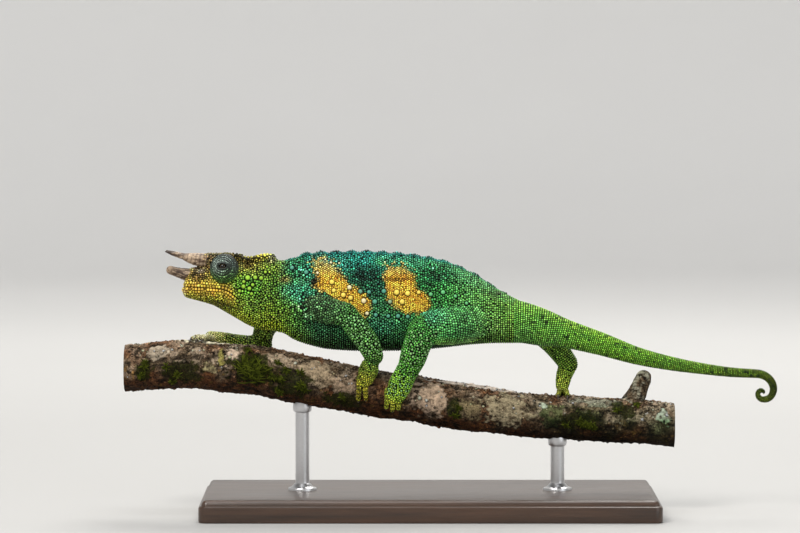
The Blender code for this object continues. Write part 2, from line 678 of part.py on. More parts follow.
# Each leg: the path and radii of its upper and lower length, then its foot. A foot has the
# path and radii of its palm, and toes as (x at the root, x at the tip, angle round the
# branch at the root, angle at the tip), the outer group first.
LEGS = {
    "front_left": {
        "upper": ([(-43.5, -2.0, 74.8), (-37.0, -8.0, 73.4), (-30.2, -11.6, 72.2)], [4.7, 4.6, 4.4]),
        "lower": ([(-29.4, -11.8, 71.4), (-25.6, -11.6, 66.3), (-22.6, -10.9, 61.6),
                   (-20.9, -9.8, 57.4)], [4.1, 4.3, 4.2, 3.7]),
        "palm": ([(-20.9, -9.6, 57.0), (-21.9, -9.4, 52.6), (-23.4, -9.8, 48.2)],
                 [3.6, 3.4, 2.9], [1.0, 0.8, 0.6]),
        "outer": [(-25.0, -25.3, 62, 116), (-22.9, -22.8, 62, 110)],
        "inner": [(-24.2, -25.0, 22, -84), (-22.2, -22.4, 22, -92), (-20.2, -19.8, 22, -84)],
    },
    "front_right": {
        "upper": ([(-49.0, 2.0, 71.8), (-57.0, 7.6, 68.8), (-60.3, 10.6, 64.2),
                   (-60.9, 11.3, 60.6)], [4.2, 4.2, 3.9, 3.7]),
        "lower": ([(-60.6, 11.2, 59.4), (-66.5, 11.0, 60.0), (-72.5, 9.4, 61.4)], [3.6, 3.3, 2.7]),
        "palm": ([(-72.5, 9.2, 61.5), (-76.0, 7.9, 62.3), (-79.5, 6.2, 62.9)],
                 [2.7, 2.6, 2.4], [1.0, 0.9, 0.8]),
        "outer": [(-79.0, -84.2, -40, -92), (-77.0, -80.6, -42, -98)],
        "inner": [(-81.2, -86.6, -34, 20), (-80.0, -84.4, -30, 24), (-78.6, -82.2, -26, 22)],
    },
    "rear_left": {
        "upper": ([(16.5, -1.5, 69.6), (8.0, -7.4, 67.9), (0.4, -10.6, 67.2)], [7.0, 6.9, 6.1]),
        "lower": ([(-2.6, -10.9, 66.0), (-4.8, -10.8, 60.6), (-6.1, -10.2, 56.6),
                   (-7.6, -9.2, 52.6)], [5.5, 5.1, 4.9, 4.2]),
        "palm": ([(-8.2, -9.2, 52.0), (-10.6, -9.9, 47.0), (-12.4, -9.9, 42.6)],
                 [4.1, 4.4, 3.6], [0.9, 0.62, 0.5]),
        "outer": [(-14.8, -15.5, 78, 124), (-12.6, -13.8, 80, 128), (-10.3, -11.5, 78, 122)],
        "inner": [(-10.4, -11.4, 24, -88), (-7.8, -7.8, 24, -92)],
    },
    "rear_right": {
        "upper": ([(21.5, 2.5, 69.0), (30.5, 7.8, 67.6), (38.0, 10.3, 66.2)], [6.2, 5.8, 5.2]),
        "lower": ([(40.0, 10.6, 65.0), (44.6, 10.5, 60.4), (50.0, 9.8, 53.4)], [5.0, 4.4, 3.7]),
        "palm": ([(50.3, 9.6, 52.8), (48.6, 8.2, 48.4), (47.8, 6.2, 44.6)],
                 [3.6, 3.1, 2.6], [0.9, 0.7, 0.6]),
        "outer": [(46.4, 44.8, -42, -104), (48.4, 48.2, -42, -108), (50.2, 51.4, -42, -102)],
        "inner": [(47.0, 46.0, -30, 34), (49.2, 49.4, -30, 36)],
    },
}
TOE_RADIUS = 1.15
CLAW_RADIUS = 0.45
TOE_STEPS = 6


def leg_tube(leg, part, grow=0.0):
    """One length of a leg. Palms are flat across the branch, but for the one that lies along it."""
    path, radii, *flat = LEGS[leg][part]
    shape = flat[0] if flat else None
    across = (1.0, 0.0, 0.0) if part == "palm" else (0.3, 1.0, 0.0)
    if leg == "front_right" and part == "palm":
        across = (0.0, 0.6, 0.8)
    return tube(f"{leg}_{part}", path, radii, across, grow=grow, flat=shape)


def toe(root_x, tip_x, root_angle, tip_angle, grow=0.0):
    """One toe: it hugs the branch from the palm round to its tip, and ends in a narrow claw."""
    share = np.linspace(0.0, 1.0, TOE_STEPS)
    radii = np.interp(share, [0, 0.6, 0.82, 0.88, 1], [1.2, 1.05, 0.95, CLAW_RADIUS, 0.25])
    radii = np.where(share < 0.85, radii * TOE_RADIUS, radii)
    path = [
        branch_spot(
            root_x + (tip_x - root_x) * u,
            root_angle + (tip_angle - root_angle) * u,
            radius + GAP - 0.25 + 0.9 * math.sin(math.pi * min(1.0, u * 1.1)) * (1.0 - u),
        )
        for u, radius in zip(share, radii)
    ]
    return tube("toe", path, radii, (1.0, 0.0, 0.0), sides=7, steps=1, grow=grow, caps=(55.0,))


def make_leg(leg):
    limb = {"front": ("upper_arm", "forearm"), "rear": ("thigh", "shin")}[leg.split("_")[0]]
    side = leg.split("_")[1]
    names = {"upper": f"{limb[0]}_{side}", "lower": f"{limb[1]}_{side}"}
    upper = leg_tube(leg, "upper")
    upper.name = names["upper"]
    cut(upper, body_cutters())
    lower = leg_tube(leg, "lower")
    lower.name = names["lower"]
    union(lower, limb_beads(leg))
    cut(lower, body_cutters() + [leg_tube(leg, "upper", GAP), branch(GAP)])
    foot = leg_tube(leg, "palm")
    foot.name = f"foot_{leg}"
    union(foot, [toe(*spec) for spec in LEGS[leg]["outer"]])
    cut(foot, [leg_tube(leg, "lower", GAP), branch(GAP)])
    first, *others = [toe(*spec) for spec in LEGS[leg]["inner"]]
    first.name = f"toes_inner_{leg}"
    union(first, others)
    cut(first, [leg_tube(leg, "palm", GAP), leg_tube(leg, "lower", GAP), branch(GAP)]
        + [toe(*spec, GAP) for spec in LEGS[leg]["outer"]])
    for obj in (upper, lower):
        finish(obj, (0.04, 0.30, 0.05), 0.55)
    for obj in (foot, first):
        finish(obj, (0.22, 0.34, 0.04), 0.55)


def limb_beads(leg):
    """Tubercles on the outer face of a forearm or shin, every other row shifted round it."""
    path, radii = LEGS[leg]["lower"]
    radius, height = LIMB_SIZE
    out = (0.3, 1.0 if leg.endswith("right") else -1.0, 0.0)
    pieces = []
    for i in range(LIMB_ROWS):
        for j in range(LIMB_COLUMNS):
            angle = (j - (LIMB_COLUMNS - 1) / 2) * 38.0 + (i % 2) * 16.0 - 8.0
            share = 0.22 + 0.56 * i / (LIMB_ROWS - 1)
            size = RANDOM.uniform(0.8, 1.1)
            spot = tube_spot(path, radii, share, angle, out)
            pieces.append(bead(*spot, radius * size, height * size))
    return pieces


def body_cutters():
    return [trunk("body", -70.0, TORSO_END, spacing=2.5, grow=GAP), tail("body", 0.0, 40.0, GAP)]


def main():
    for obj in list(bpy.data.objects):
        bpy.data.objects.remove(obj)
    make_stand()
    make_perch()
    make_head()
    make_trunk()
    make_tail()
    for leg in LEGS:
        make_leg(leg)


main()
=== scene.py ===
import math

import bpy
import numpy as np
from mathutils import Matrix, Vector
from mathutils.bvhtree import BVHTree
from mathutils.kdtree import KDTree


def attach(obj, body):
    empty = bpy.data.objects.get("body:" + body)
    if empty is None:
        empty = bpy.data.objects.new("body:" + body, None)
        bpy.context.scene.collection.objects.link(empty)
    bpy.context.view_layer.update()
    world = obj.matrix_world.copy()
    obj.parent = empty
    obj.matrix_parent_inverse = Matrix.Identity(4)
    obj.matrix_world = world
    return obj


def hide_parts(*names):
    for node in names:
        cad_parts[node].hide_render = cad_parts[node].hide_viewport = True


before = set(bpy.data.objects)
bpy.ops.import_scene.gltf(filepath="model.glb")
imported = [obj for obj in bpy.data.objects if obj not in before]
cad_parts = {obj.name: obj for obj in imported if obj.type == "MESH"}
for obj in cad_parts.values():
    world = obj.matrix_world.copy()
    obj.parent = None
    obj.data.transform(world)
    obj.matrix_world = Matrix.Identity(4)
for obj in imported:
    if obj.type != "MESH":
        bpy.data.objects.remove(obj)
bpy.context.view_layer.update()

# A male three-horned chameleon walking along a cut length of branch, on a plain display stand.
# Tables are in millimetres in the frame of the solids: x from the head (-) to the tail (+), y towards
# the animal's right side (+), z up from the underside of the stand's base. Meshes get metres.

# -------------------- camera
# A long lens at the animal's left side, a little above it, as somebody would stand to look at it.

LOOK_AT = Vector((-0.0108, 0.0, 0.0887))
LOOK_DOWN = math.radians(3.0)
DISTANCE = 1.6

camera_data = bpy.data.cameras.new("camera")
camera_data.lens = 200.0
camera_data.sensor_width = 36.0
camera = bpy.data.objects.new("camera", camera_data)
camera.location = LOOK_AT + DISTANCE * Vector((0.0, -math.cos(LOOK_DOWN), math.sin(LOOK_DOWN)))
camera.rotation_euler = (math.radians(90.0) - LOOK_DOWN, 0.0, 0.0)
bpy.context.scene.collection.objects.link(camera)
bpy.context.scene.camera = camera


# -------------------- skin
# One skin covers head, body, tail, legs and toes without a seam. It lies inside the solids by the
# depth of the scales, and is made of closed tubes of flesh that are grown together and smoothed.

MM = 0.001
COAT_DEPTH = 0.3
TOE_DEPTH, BROW_DEPTH = 0.12, 0.25  # the same where the scales are finer
SKIN_GRAIN = 0.47  # size of the cells in which the tubes are grown together
TRUNK_SIDES, TAIL_SIDES, TOE_SIDES = 120, 48, 20

# Stations of head, neck and torso: x, top, bottom, half width, height of the widest place as a
# share, and how square the section is above and below it (2 is round).
TRUNK = [
    (-88.9, 81.4, 79, 1.3, 0.5, 2, 2),
    (-88.3, 83.4, 77.8, 2.6, 0.45, 2, 2),
    (-87.2, 87, 77.2, 3.6, 0.4, 2, 2),
    (-84.5, 88.6, 76.5, 4.5, 0.4, 2.2, 2.1),
    (-81.5, 90.4, 75.7, 5.1, 0.4, 2.3, 2.2),
    (-78, 92.8, 74.6, 5.7, 0.4, 2.4, 2.2),
    (-73.5, 93.5, 72.1, 6.3, 0.42, 2.5, 2.1),
    (-69, 92.6, 69.5, 7.2, 0.42, 2.3, 2),
    (-64.5, 92.3, 67, 7.7, 0.44, 2, 2),
    (-60, 93.4, 65.6, 7.6, 0.45, 1.9, 2),
    (-56.4, 93.5, 65.6, 7.1, 0.45, 1.8, 2),
    (-54.9, 91.3, 65, 6.9, 0.44, 1.8, 2),
    (-53, 91.1, 64.6, 6.7, 0.44, 1.8, 2),
    (-49, 91.9, 62.2, 6.6, 0.44, 1.7, 2),
    (-44, 93.4, 60.4, 7.2, 0.43, 1.6, 2),
    (-36, 93.8, 58.7, 8.3, 0.42, 1.55, 2.1),
    (-24, 94, 58.1, 9.2, 0.42, 1.55, 2.1),
    (-10, 93.3, 58.2, 9.6, 0.42, 1.55, 2.1),
    (4, 91, 59.2, 9.2, 0.43, 1.55, 2.1),
    (15, 86.6, 60.4, 8, 0.45, 1.6, 2.1),
    (25, 80.3, 60.9, 6.6, 0.48, 1.7, 2),
    (33, 76.3, 60.9, 5.8, 0.5, 1.8, 2),
]
# Stations of the straight part of the tail: x, height, half height, half width.
TAIL = [
    (30, 69.2, 7.9, 5.9),
    (33.3, 68.6, 7.7, 5.8),
    (40, 66.9, 7, 5.1),
    (49.5, 64.3, 5.3, 4.4),
    (61.2, 60.9, 4.4, 3.8),
    (74.9, 56.4, 3.4, 3),
    (86.3, 53.8, 2.8, 2.55),
    (97.7, 51.9, 2.3, 2.15),
    (109.2, 50.5, 2, 1.9),
    (118, 50, 1.85, 1.75),
]
CURL_LENGTH, CURL_USED = 23.4, 21.8  # of the spiral wound to its centre, and how much of it there is
CURL_SIZES = [(1.85, 1.75), (1.65, 1.55), (1.35, 1.3), (0.95, 0.95)]
CURL_KNOTS = [0.0, 8.0, 15.0, CURL_USED]

# Stations of the branch, which the toes hold: x, height of its centre line, radius.
BRANCH = [
    (-110, 51.8, 8.5),
    (-88, 53.3, 8.8),
    (-68, 51.9, 9.1),
    (-50, 48.6, 9.3),
    (-30, 44.8, 8.8),
    (-12, 42, 8.6),
    (10, 38.2, 8.7),
    (36, 35.2, 8.1),
    (60, 33.5, 8.1),
    (88, 31.6, 8.1),
]

# Each leg: the path and radii of its upper and lower length and of its palm, with the share of
# them that the section has the other way. Then the toes, as (x at the root, x at the tip, angle
# round the branch at the root, angle at the tip), the outer group first.
LEGS = {
    "front_left": {
        "upper": ([(-43.5, -2, 74.8), (-37, -8, 73.4), (-30.2, -11.6, 72.2)], [4.7, 4.6, 4.4]),
        "lower": ([(-29.4, -11.8, 71.4), (-25.5, -11.6, 66.3), (-22.2, -10.9, 61.6),
                   (-20.2, -9.8, 57.2)], [4.1, 4.3, 4.15, 3.6]),
        "palm": ([(-20.7, -9.6, 55.4), (-21.9, -9.4, 52.4), (-23.3, -9.8, 48.2)],
                 [2.6, 3.7, 2.95], [1, 0.8, 0.6]),
        "outer": [(-25.3, -25.8, 62, 116), (-23.1, -23.1, 62, 110)],
        "inner": [(-23.2, -24.8, 20, -84), (-21.7, -22.3, 20, -92), (-20.1, -19.8, 20, -84)],
    },
    "front_right": {
        "upper": ([(-49, 2, 71.8), (-57, 7.6, 68.8), (-60.3, 10.6, 64.2),
                   (-60.9, 11.3, 60.6)], [4.2, 4.2, 3.9, 3.7]),
        "lower": ([(-60.6, 11.2, 59.4), (-66.5, 11, 60), (-72.5, 9.4, 61.4)], [3.6, 3.3, 2.7]),
        "palm": ([(-72.5, 9.2, 61.5), (-76, 7.9, 62.3), (-79.5, 6.2, 62.9)],
                 [2.7, 2.6, 2.4], [1, 0.9, 0.8]),
        "outer": [(-79, -84.2, -40, -92), (-77, -80.6, -42, -98)],
        "inner": [(-81.2, -86.6, -34, 20), (-80, -84.4, -30, 24), (-78.6, -82.2, -26, 22)],
    },
    "rear_left": {
        "upper": ([(16.5, -1.5, 69.6), (8, -7.4, 67.9), (0.4, -10.6, 67.2)], [7, 6.9, 6.1]),
        "lower": ([(-2.6, -10.9, 66), (-4.8, -10.8, 60.6), (-6.1, -10.2, 56.6),
                   (-7.6, -9.2, 52.6)], [5.5, 5.1, 4.9, 4.2]),
        "palm": ([(-8.2, -9.2, 52), (-10.6, -9.9, 47), (-12.4, -9.9, 42.6)],
                 [4.1, 4.4, 3.6], [0.9, 0.62, 0.5]),
        "outer": [(-15.2, -15.8, 78, 124), (-13, -13.7, 80, 128), (-10.8, -11.5, 78, 122)],
        "inner": [(-10.4, -11.4, 24, -88), (-7.8, -7.8, 24, -92)],
    },
    "rear_right": {
        "upper": ([(21.5, 2.5, 69), (30.5, 7.8, 67.6), (38, 10.3, 66.2)], [6.2, 5.8, 5.2]),
        "lower": ([(40, 10.6, 65), (44.6, 10.5, 60.4), (50, 9.8, 53.4)], [5, 4.4, 3.7]),
        "palm": ([(50.3, 9.6, 52.8), (48.6, 8.2, 48.4), (47.8, 6.2, 44.6)],
                 [3.6, 3.1, 2.6], [0.9, 0.7, 0.6]),
        "outer": [(46.4, 44.8, -42, -104), (48.4, 48.2, -42, -108), (50.2, 51.4, -42, -102)],
        "inner": [(47, 46, -30, 34), (49.2, 49.4, -30, 36)],
    },
}
TOE_RADII = [1.3, 1.0, 0.9, 0.82]
TOE_END = 0.84  # the share of a toe's line where its flesh ends and the claw goes on

BROW = [(-81, 2.9, 90.8), (-77.5, 3.2, 92.7), (-73.5, 3.2, 93.3), (-69.5, 3.9, 92.4),
        (-66, 4.6, 91.3), (-62, 4.2, 91.6), (-58.9, 2.9, 92.3)]
BROW_RADII = [1.3, 1.0, 0.9, 1.1, 1.0, 1.0, 1.0]
HORN_SEATS = {
    "rostral": ([(-80, 0, 85), (-82.6, 0, 85.3), (-85.2, 0, 85.7)], [3.4, 3.2, 2.75]),
    "orbital": ([(-77.5, 2.3, 91.1), (-79.4, 2.5, 91.15), (-81.2, 2.85, 91.1)], [2.6, 2.45, 2.2]),
}


def blend(at, knots, rows):
    """Cubic curve through rows at knots, without overshoot: each inner slope is the harmonic
    mean of the slopes on both sides, or level where they differ in sign."""
    knots, rows = np.asarray(knots, float), np.asarray(rows, float)
    step = np.diff(knots)[:, None]
    slope = np.diff(rows, axis=0) / step
    before, after = slope[:-1], slope[1:]
    product = before * after
    total = np.where(product > 0, before + after, 1.0)
    inner = np.where(product > 0, 2.0 * product / total, 0.0)
    tangent = np.vstack([slope[:1], inner, slope[-1:]])
    at = np.asarray(at, float)
    i = np.clip(np.searchsorted(knots, at, side="right") - 1, 0, len(step) - 1)
    h = step[i]
    u = (at[:, None] - knots[i, None]) / h
    return (
        (2 * u**3 - 3 * u**2 + 1) * rows[i]
        + (u**3 - 2 * u**2 + u) * h * tangent[i]
        + (3 * u**2 - 2 * u**3) * rows[i + 1]
        + (u**3 - u**2) * h * tangent[i + 1]
    )


def unit(vectors):
    """Vectors brought to length 1."""
    vectors = np.asarray(vectors, float)
    return vectors / np.maximum(np.linalg.norm(vectors, axis=-1, keepdims=True), 1e-12)


def runs(points):
    """Distances along a line of points."""
    return np.concatenate([[0.0], np.cumsum(np.linalg.norm(np.diff(points, axis=0), axis=1))])


def row_at(table, x):
    """Rows of a table whose first column is x, blended at other places along x."""
    return blend(x, [row[0] for row in table], [np.hstack(row[1:]) for row in table])


def full_turn(count):
    """Angles that part a circle evenly."""
    return np.linspace(0.0, 2.0 * np.pi, count, endpoint=False)


def held(value):
    """A value or an array held between 0 and 1."""
    return np.clip(value, 0.0, 1.0)


def trunk_rings(x, sides, grow):
    """Upright rings of head, neck and torso: a superellipse above the widest place, where
    y = half width * sin(t) ** (2 / squareness) and z goes by cos(t) likewise, and one below."""
    top, bottom, half, wide, above, below = (column[:, None] for column in row_at(TRUNK, x).T)
    c, s = np.cos(full_turn(sides))[None, :], np.sin(full_turn(sides))[None, :]
    middle = bottom + wide * (top - bottom)
    power = 2.0 / np.where(c > 0, above, below)
    height = np.where(c > 0, top - middle, middle - bottom) + grow
    y = (half + grow) * np.sign(s) * np.abs(s) ** power
    z = middle + height * np.sign(c) * np.abs(c) ** power
    return np.stack([np.broadcast_to(np.asarray(x)[:, None], y.shape), y, z], axis=-1)


def tube_rings(path, radii, across, sides=40, spacing=0.5, grow=0.0, flat=None, caps=8):
    """Oval rings square to a smooth path, rounded off at both ends by a quarter circle. across
    is the direction that the radii are measured in; the ring has a share flat of them the
    other way."""
    path, radii = np.asarray(path, float), np.asarray(radii, float)
    flat = np.ones(len(path)) if flat is None else np.asarray(flat, float)
    knots = runs(path)
    at = np.linspace(0, knots[-1], max(4, int(knots[-1] / spacing)))
    rows = blend(at, knots, np.column_stack([path, radii, flat]))
    middle, wide = rows[:, :3], rows[:, 3] + grow
    deep = rows[:, 3] * rows[:, 4] + grow
    along = unit(np.gradient(middle, axis=0))
    cap = np.radians(np.linspace(84.0, 8.0, caps))
    index = np.concatenate([np.zeros(caps, int), np.arange(len(at)), np.full(caps, len(at) - 1)])
    scale = np.concatenate([np.cos(cap), np.ones(len(at)), np.cos(cap[::-1])])
    push = np.concatenate([-np.sin(cap), np.zeros(len(at)), np.sin(cap[::-1])])
    along = along[index]
    side = unit(np.asarray(across) - (along @ np.asarray(across, float))[:, None] * along)
    up = np.cross(along, side)
    turn = full_turn(sides)
    wide, deep = wide[index], deep[index]
    centre = middle[index] + along * (push * np.minimum(wide, deep))[:, None]
    oval = (np.cos(turn)[None, :, None] * (wide * scale)[:, None, None] * side[:, None]
            + np.sin(turn)[None, :, None] * (deep * scale)[:, None, None] * up[:, None])
    return centre[:, None] + oval


def tail_rings(sides, grow, spacing=0.5):
    """Oval rings along the tail, upright at its root and square to it beyond. Its end is an
    equiangular spiral: it turns half a circle each time the length left falls by a factor e."""
    rows = np.array(TAIL)
    run = runs(rows[:, :2])
    at = np.linspace(0, run[-1], int(run[-1] / spacing))
    straight = blend(at, run, rows)
    step = 0.2
    s = np.arange(step, CURL_USED + step / 2, step)
    slope = np.diff(straight[-2:, :2], axis=0)[0]
    heading = math.atan2(slope[1], slope[0]) - math.pi * np.log(CURL_LENGTH / (CURL_LENGTH - s))
    curl = np.cumsum(np.column_stack([np.cos(heading), np.sin(heading)]) * step, axis=0)
    curl = np.column_stack([straight[-1, :2] + curl, blend(s, CURL_KNOTS, CURL_SIZES)])
    x, z, high, wide = np.vstack([straight, curl]).T
    distance = np.concatenate([at, run[-1] + s])
    lean = held(distance / 18.0) * np.unwrap(np.arctan2(np.gradient(z), np.gradient(x)))
    turn = full_turn(sides)[None, :]
    up = (high[:, None] + grow) * np.cos(turn)
    return np.stack([x[:, None] - np.sin(lean)[:, None] * up,
                     (wide[:, None] + grow) * np.sin(turn),
                     z[:, None] + np.cos(lean)[:, None] * up], axis=-1)


def branch_spot(x, angle, off):
    """Places off millimetres outside the bark; angles in degrees from the top of the branch,
    positive towards the animal's left."""
    height, radius = row_at(BRANCH, x).T
    turn = np.radians(angle)
    return np.column_stack([x, -np.sin(turn) * (radius + off), height + np.cos(turn) * (radius + off)])


def toe_line(spec, shares, radii):
    """A toe's middle line: it leaves the palm in a low arch and hugs the bark to its tip."""
    root_x, tip_x, root_angle, tip_angle = spec
    arch = 0.6 * np.sin(np.pi * np.minimum(1.0, shares * 1.1)) * (1.0 - shares)
    return branch_spot(root_x + (tip_x - root_x) * shares,
                       root_angle + (tip_angle - root_angle) * shares, radii + 0.05 + arch)


SIDES = {"left": -1.0, "right": 1.0}  # the way that y goes on the animal's left and right


def mirrored(points, side):
    """A path given on the right side, brought to the side that is asked for."""
    return [(x, SIDES[side] * y, z) for x, y, z in points]


def fan(tip, start, sides):
    """Triangles from the point tip to each side of a ring, whose points begin at start."""
    k = np.arange(sides)
    return np.column_stack([np.full(sides, tip), start + k, start + (k + 1) % sides])


def tube_faces(count, sides):
    """Faces of four corners between the rings of a tube, whose points follow each other."""
    k = np.arange(sides)
    n = (k + 1) % sides
    start = (np.arange(count - 1) * sides)[:, None]
    return np.stack([start + k, start + n, start + sides + n, start + sides + k], axis=-1).reshape(-1, 4)


def closed(rings):
    """Points and faces of a tube of rings, with a fan of triangles over each end."""
    count, sides, _ = rings.shape
    points = np.vstack([rings.reshape(-1, 3), rings[0].mean(0)[None], rings[-1].mean(0)[None]])
    first = fan(count * sides, 0, sides)[:, [0, 2, 1]]
    last = fan(count * sides + 1, (count - 1) * sides, sides)
    return points, [tube_faces(count, sides), np.vstack([first, last])]


def repeated(faces, times, size):
    """The faces of many small shapes, from those of one. Each has size points, one after another."""
    return ((np.arange(times) * size)[:, None, None] + faces[None]).reshape(-1, faces.shape[1])


def joined(shapes):
    """Several (points, groups of faces) as one, with groups of the same kind stacked."""
    offsets = np.concatenate([[0], np.cumsum([len(points) for points, _ in shapes])])
    kinds = {}
    for offset, (_, groups) in zip(offsets, shapes):
        for group in groups:
            kinds.setdefault(group.shape[1], []).append(group + offset)
    return np.vstack([points for points, _ in shapes]), [np.vstack(groups) for groups in kinds.values()]


def piece(name, points, faces, tint=None, uv=None):
    """A smooth mesh object from points in millimetres and groups of faces. tint is a colour for
    each point, and uv a place on the unwrap for each point."""
    corners = np.concatenate([group.ravel() for group in faces]).astype(np.int32)
    sizes = np.concatenate([np.full(len(group), group.shape[1]) for group in faces])
    mesh = bpy.data.meshes.new(name)
    mesh.vertices.add(len(points))
    mesh.vertices.foreach_set("co", (np.asarray(points) * MM).astype(np.float32).ravel())
    mesh.loops.add(len(corners))
    mesh.loops.foreach_set("vertex_index", corners)
    mesh.polygons.add(len(sizes))
    mesh.polygons.foreach_set("loop_start", (np.cumsum(sizes) - sizes).astype(np.int32))
    mesh.update(calc_edges=True)
    mesh.shade_smooth()
    if tint is not None:
        layer = mesh.color_attributes.new("tint", "FLOAT_COLOR", "POINT")
        colours = np.column_stack([held(tint), np.ones(len(points))])
        layer.data.foreach_set("color", colours.astype(np.float32).ravel())
    if uv is not None:
        layer = mesh.uv_layers.new(name="OFBake")
        layer.data.foreach_set("uv", uv[corners].astype(np.float32).ravel())
    obj = bpy.data.objects.new(name, mesh)
    bpy.context.scene.collection.objects.link(obj)
    return obj


def fitted(obj, finish, slot, *nodes):
    """Gives a piece its finish, hangs it under the root, and hides the nodes of the solids whose place it
    takes. slot is not used.
    """
    obj.data.materials.append(finish)
    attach(obj, "root")
    if nodes:
        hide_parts(*nodes)


# Every length of flesh as (name, rings): the name says later which scales and colours it gets.
flesh = [("trunk", trunk_rings(np.arange(TRUNK[0][0], TRUNK[-1][0] + 0.01, 0.5), TRUNK_SIDES, -COAT_DEPTH)),
         ("tail", tail_rings(TAIL_SIDES, -COAT_DEPTH))]
for leg, table in LEGS.items():
    for length in ("upper", "lower", "palm"):
        path, radii, *flat = table[length]
        across = (0.3, 1.0, 0.0)
        if length == "palm":
            across = (0.0, 0.6, 0.8) if leg == "front_right" else (1.0, 0.0, 0.0)
        rings = tube_rings(path, radii, across, grow=-COAT_DEPTH, flat=flat[0] if flat else None)
        flesh.append((f"{leg}_{length}", rings))
    for group in ("outer", "inner"):
        for number, spec in enumerate(table[group]):
            shares = np.linspace(0.0, TOE_END, 9)
            radii = np.interp(shares, [0.0, 0.3, 0.6, TOE_END], TOE_RADII)
            line = toe_line(spec, shares, radii)
            rings = tube_rings(line, radii, (1.0, 0.0, 0.0), TOE_SIDES, 0.4, grow=-TOE_DEPTH, caps=5)
            flesh.append((f"{leg}_toe_{group}_{number}", rings))
for side in SIDES:
    rings = tube_rings(mirrored(BROW, side), BROW_RADII, (0, 1, 0), TOE_SIDES, grow=-BROW_DEPTH)
    flesh.append((f"brow_{side}", rings))
    path, radii = HORN_SEATS["orbital"]
    rings = tube_rings(mirrored(path, side), radii, (0, 1, 0), grow=-BROW_DEPTH)
    flesh.append((f"seat_orbital_{side}", rings))
flesh.append(("seat_rostral", tube_rings(*HORN_SEATS["rostral"], (0, 1, 0), grow=-BROW_DEPTH)))

rough = piece("rough", *joined([closed(rings) for _, rings in flesh]))
remesh = rough.modifiers.new("grown together", "REMESH")
remesh.mode = "VOXEL"
remesh.voxel_size = SKIN_GRAIN * MM
evaluated = rough.evaluated_get(bpy.context.evaluated_depsgraph_get())
skin_mesh = bpy.data.meshes.new_from_object(evaluated)
rough_mesh = rough.data
bpy.data.objects.remove(rough)
bpy.data.meshes.remove(rough_mesh)


def read(items, field, width, kind=np.int32):
    """A field of a mesh's vertices, edges or loops as an array with width columns."""
    per_item = 1 if field == "vertex_index" else width
    values = np.empty(len(items) * per_item, kind)
    items.foreach_get(field, values)
    return values.reshape(-1, width)


skin_points = read(skin_mesh.vertices, "co", 3, np.float32).astype(float) / MM
skin_faces = read(skin_mesh.loops, "vertex_index", 4)
skin_edges = read(skin_mesh.edges, "vertices", 2)
bpy.data.meshes.remove(skin_mesh)


def pull(points):
    """The way from each point of the skin to the mean of its neighbours."""
    ends = np.concatenate([skin_edges[:, 0], skin_edges[:, 1]])
    others = np.concatenate([skin_edges[:, 1], skin_edges[:, 0]])
    count = np.bincount(ends, minlength=len(points))[:, None]
    total = np.column_stack([np.bincount(ends, points[others, k], len(points)) for k in range(3)])
    return total / np.maximum(count, 1) - points


def face_normals(points):
    """Normals of the skin's points: the mean of the crossed diagonals of the faces round each."""
    a, b, c, d = (points[skin_faces[:, k]] for k in range(4))
    across = np.cross(c - a, d - b)
    total = np.zeros_like(points)
    for k in range(3):
        total[:, k] = sum(np.bincount(skin_faces[:, n], across[:, k], len(points)) for n in range(4))
    return unit(total)


def dot(a, b):
    """The scalar product of each row of two arrays."""
    return np.einsum("ij,ij->i", a, b)


def smoothed(points, rounds):
    """Points moved towards their neighbours and back, so that thin toes keep their width."""
    for _ in range(rounds):
        points = points + FORTH * pull(points)
        points = points - BACK * pull(points)
    return points


# Between two rounds of smoothing, hollows deeper than HOLLOW are filled, which rounds the creases
# where a leg or a brow leaves the body.
FORTH, BACK = 0.5, 0.52
FILL, FILL_ROUNDS, HOLLOW = 0.6, 24, 0.012
ROUNDS_BEFORE, ROUNDS_AFTER = 8, 4
skin_points = smoothed(skin_points, ROUNDS_BEFORE)
for _ in range(FILL_ROUNDS):
    way = pull(skin_points)
    skin_points += FILL * way * (dot(way, face_normals(skin_points)) > HOLLOW)[:, None]
skin_points = smoothed(skin_points, ROUNDS_AFTER)

# What is pressed into the head or swells from it: the mouth between its lips, the fold round each
# eye, the hollow of the temple, the muscle of the cheek, the nostrils, and folds on the flank.
MOUTH = [(-89.5, 81.5), (-82.8, 81.4), (-78.5, 81.2), (-74.9, 80.9), (-72.4, 80.1), (-70.2, 78.5),
         (-68.4, 77)]
JAW_FOLD = [(-81.0, 77.6), (-76.0, 75.9), (-71.5, 74.4), (-66.0, 72.6)]
FLANK_FOLD = [(-30.0, 85.6), (-22.0, 84.6), (-12.0, 84.4), (-2.0, 84.9)]
SIDE_FOLD = [(-28.0, 72.6), (-20.0, 72.9), (-8.0, 72.2), (1.0, 71.4)]
EYE = {"left": (-73.85, -4.75, 88.2), "right": (-73.85, 4.75, 88.2)}
EYE_RADIUS = 5.3
EYE_TALL = 1.03  # a ball of lids is this much taller than it is long
NOSTRIL, CHEEK = (-83.0, 84.4), (-64.8, 80.5)
TEMPLE = (-65.0, 89.6, 1.3)  # its hollow is longer than tall
HEAD_END = -66.0  # the back of the face


def off_line(x, z, line):
    """Signed distance from a line of points in the upright plane, positive above it, and the
    share along it of the nearest place."""
    line = np.asarray(line, float)
    start, end = line[:-1], line[1:]
    way = end - start
    at = np.column_stack([x, z])[:, None] - start[None]
    part = held((at * way).sum(-1) / (way**2).sum(-1))
    gap = at - part[..., None] * way
    distance = np.linalg.norm(gap, axis=-1)
    nearest = distance.argmin(axis=1)
    row = np.arange(len(distance))
    above = np.sign(way[nearest, 0] * gap[row, nearest, 1] - way[nearest, 1] * gap[row, nearest, 0])
    above[above == 0] = 1.0
    return distance[row, nearest] * above, (nearest + part[row, nearest]) / len(way)


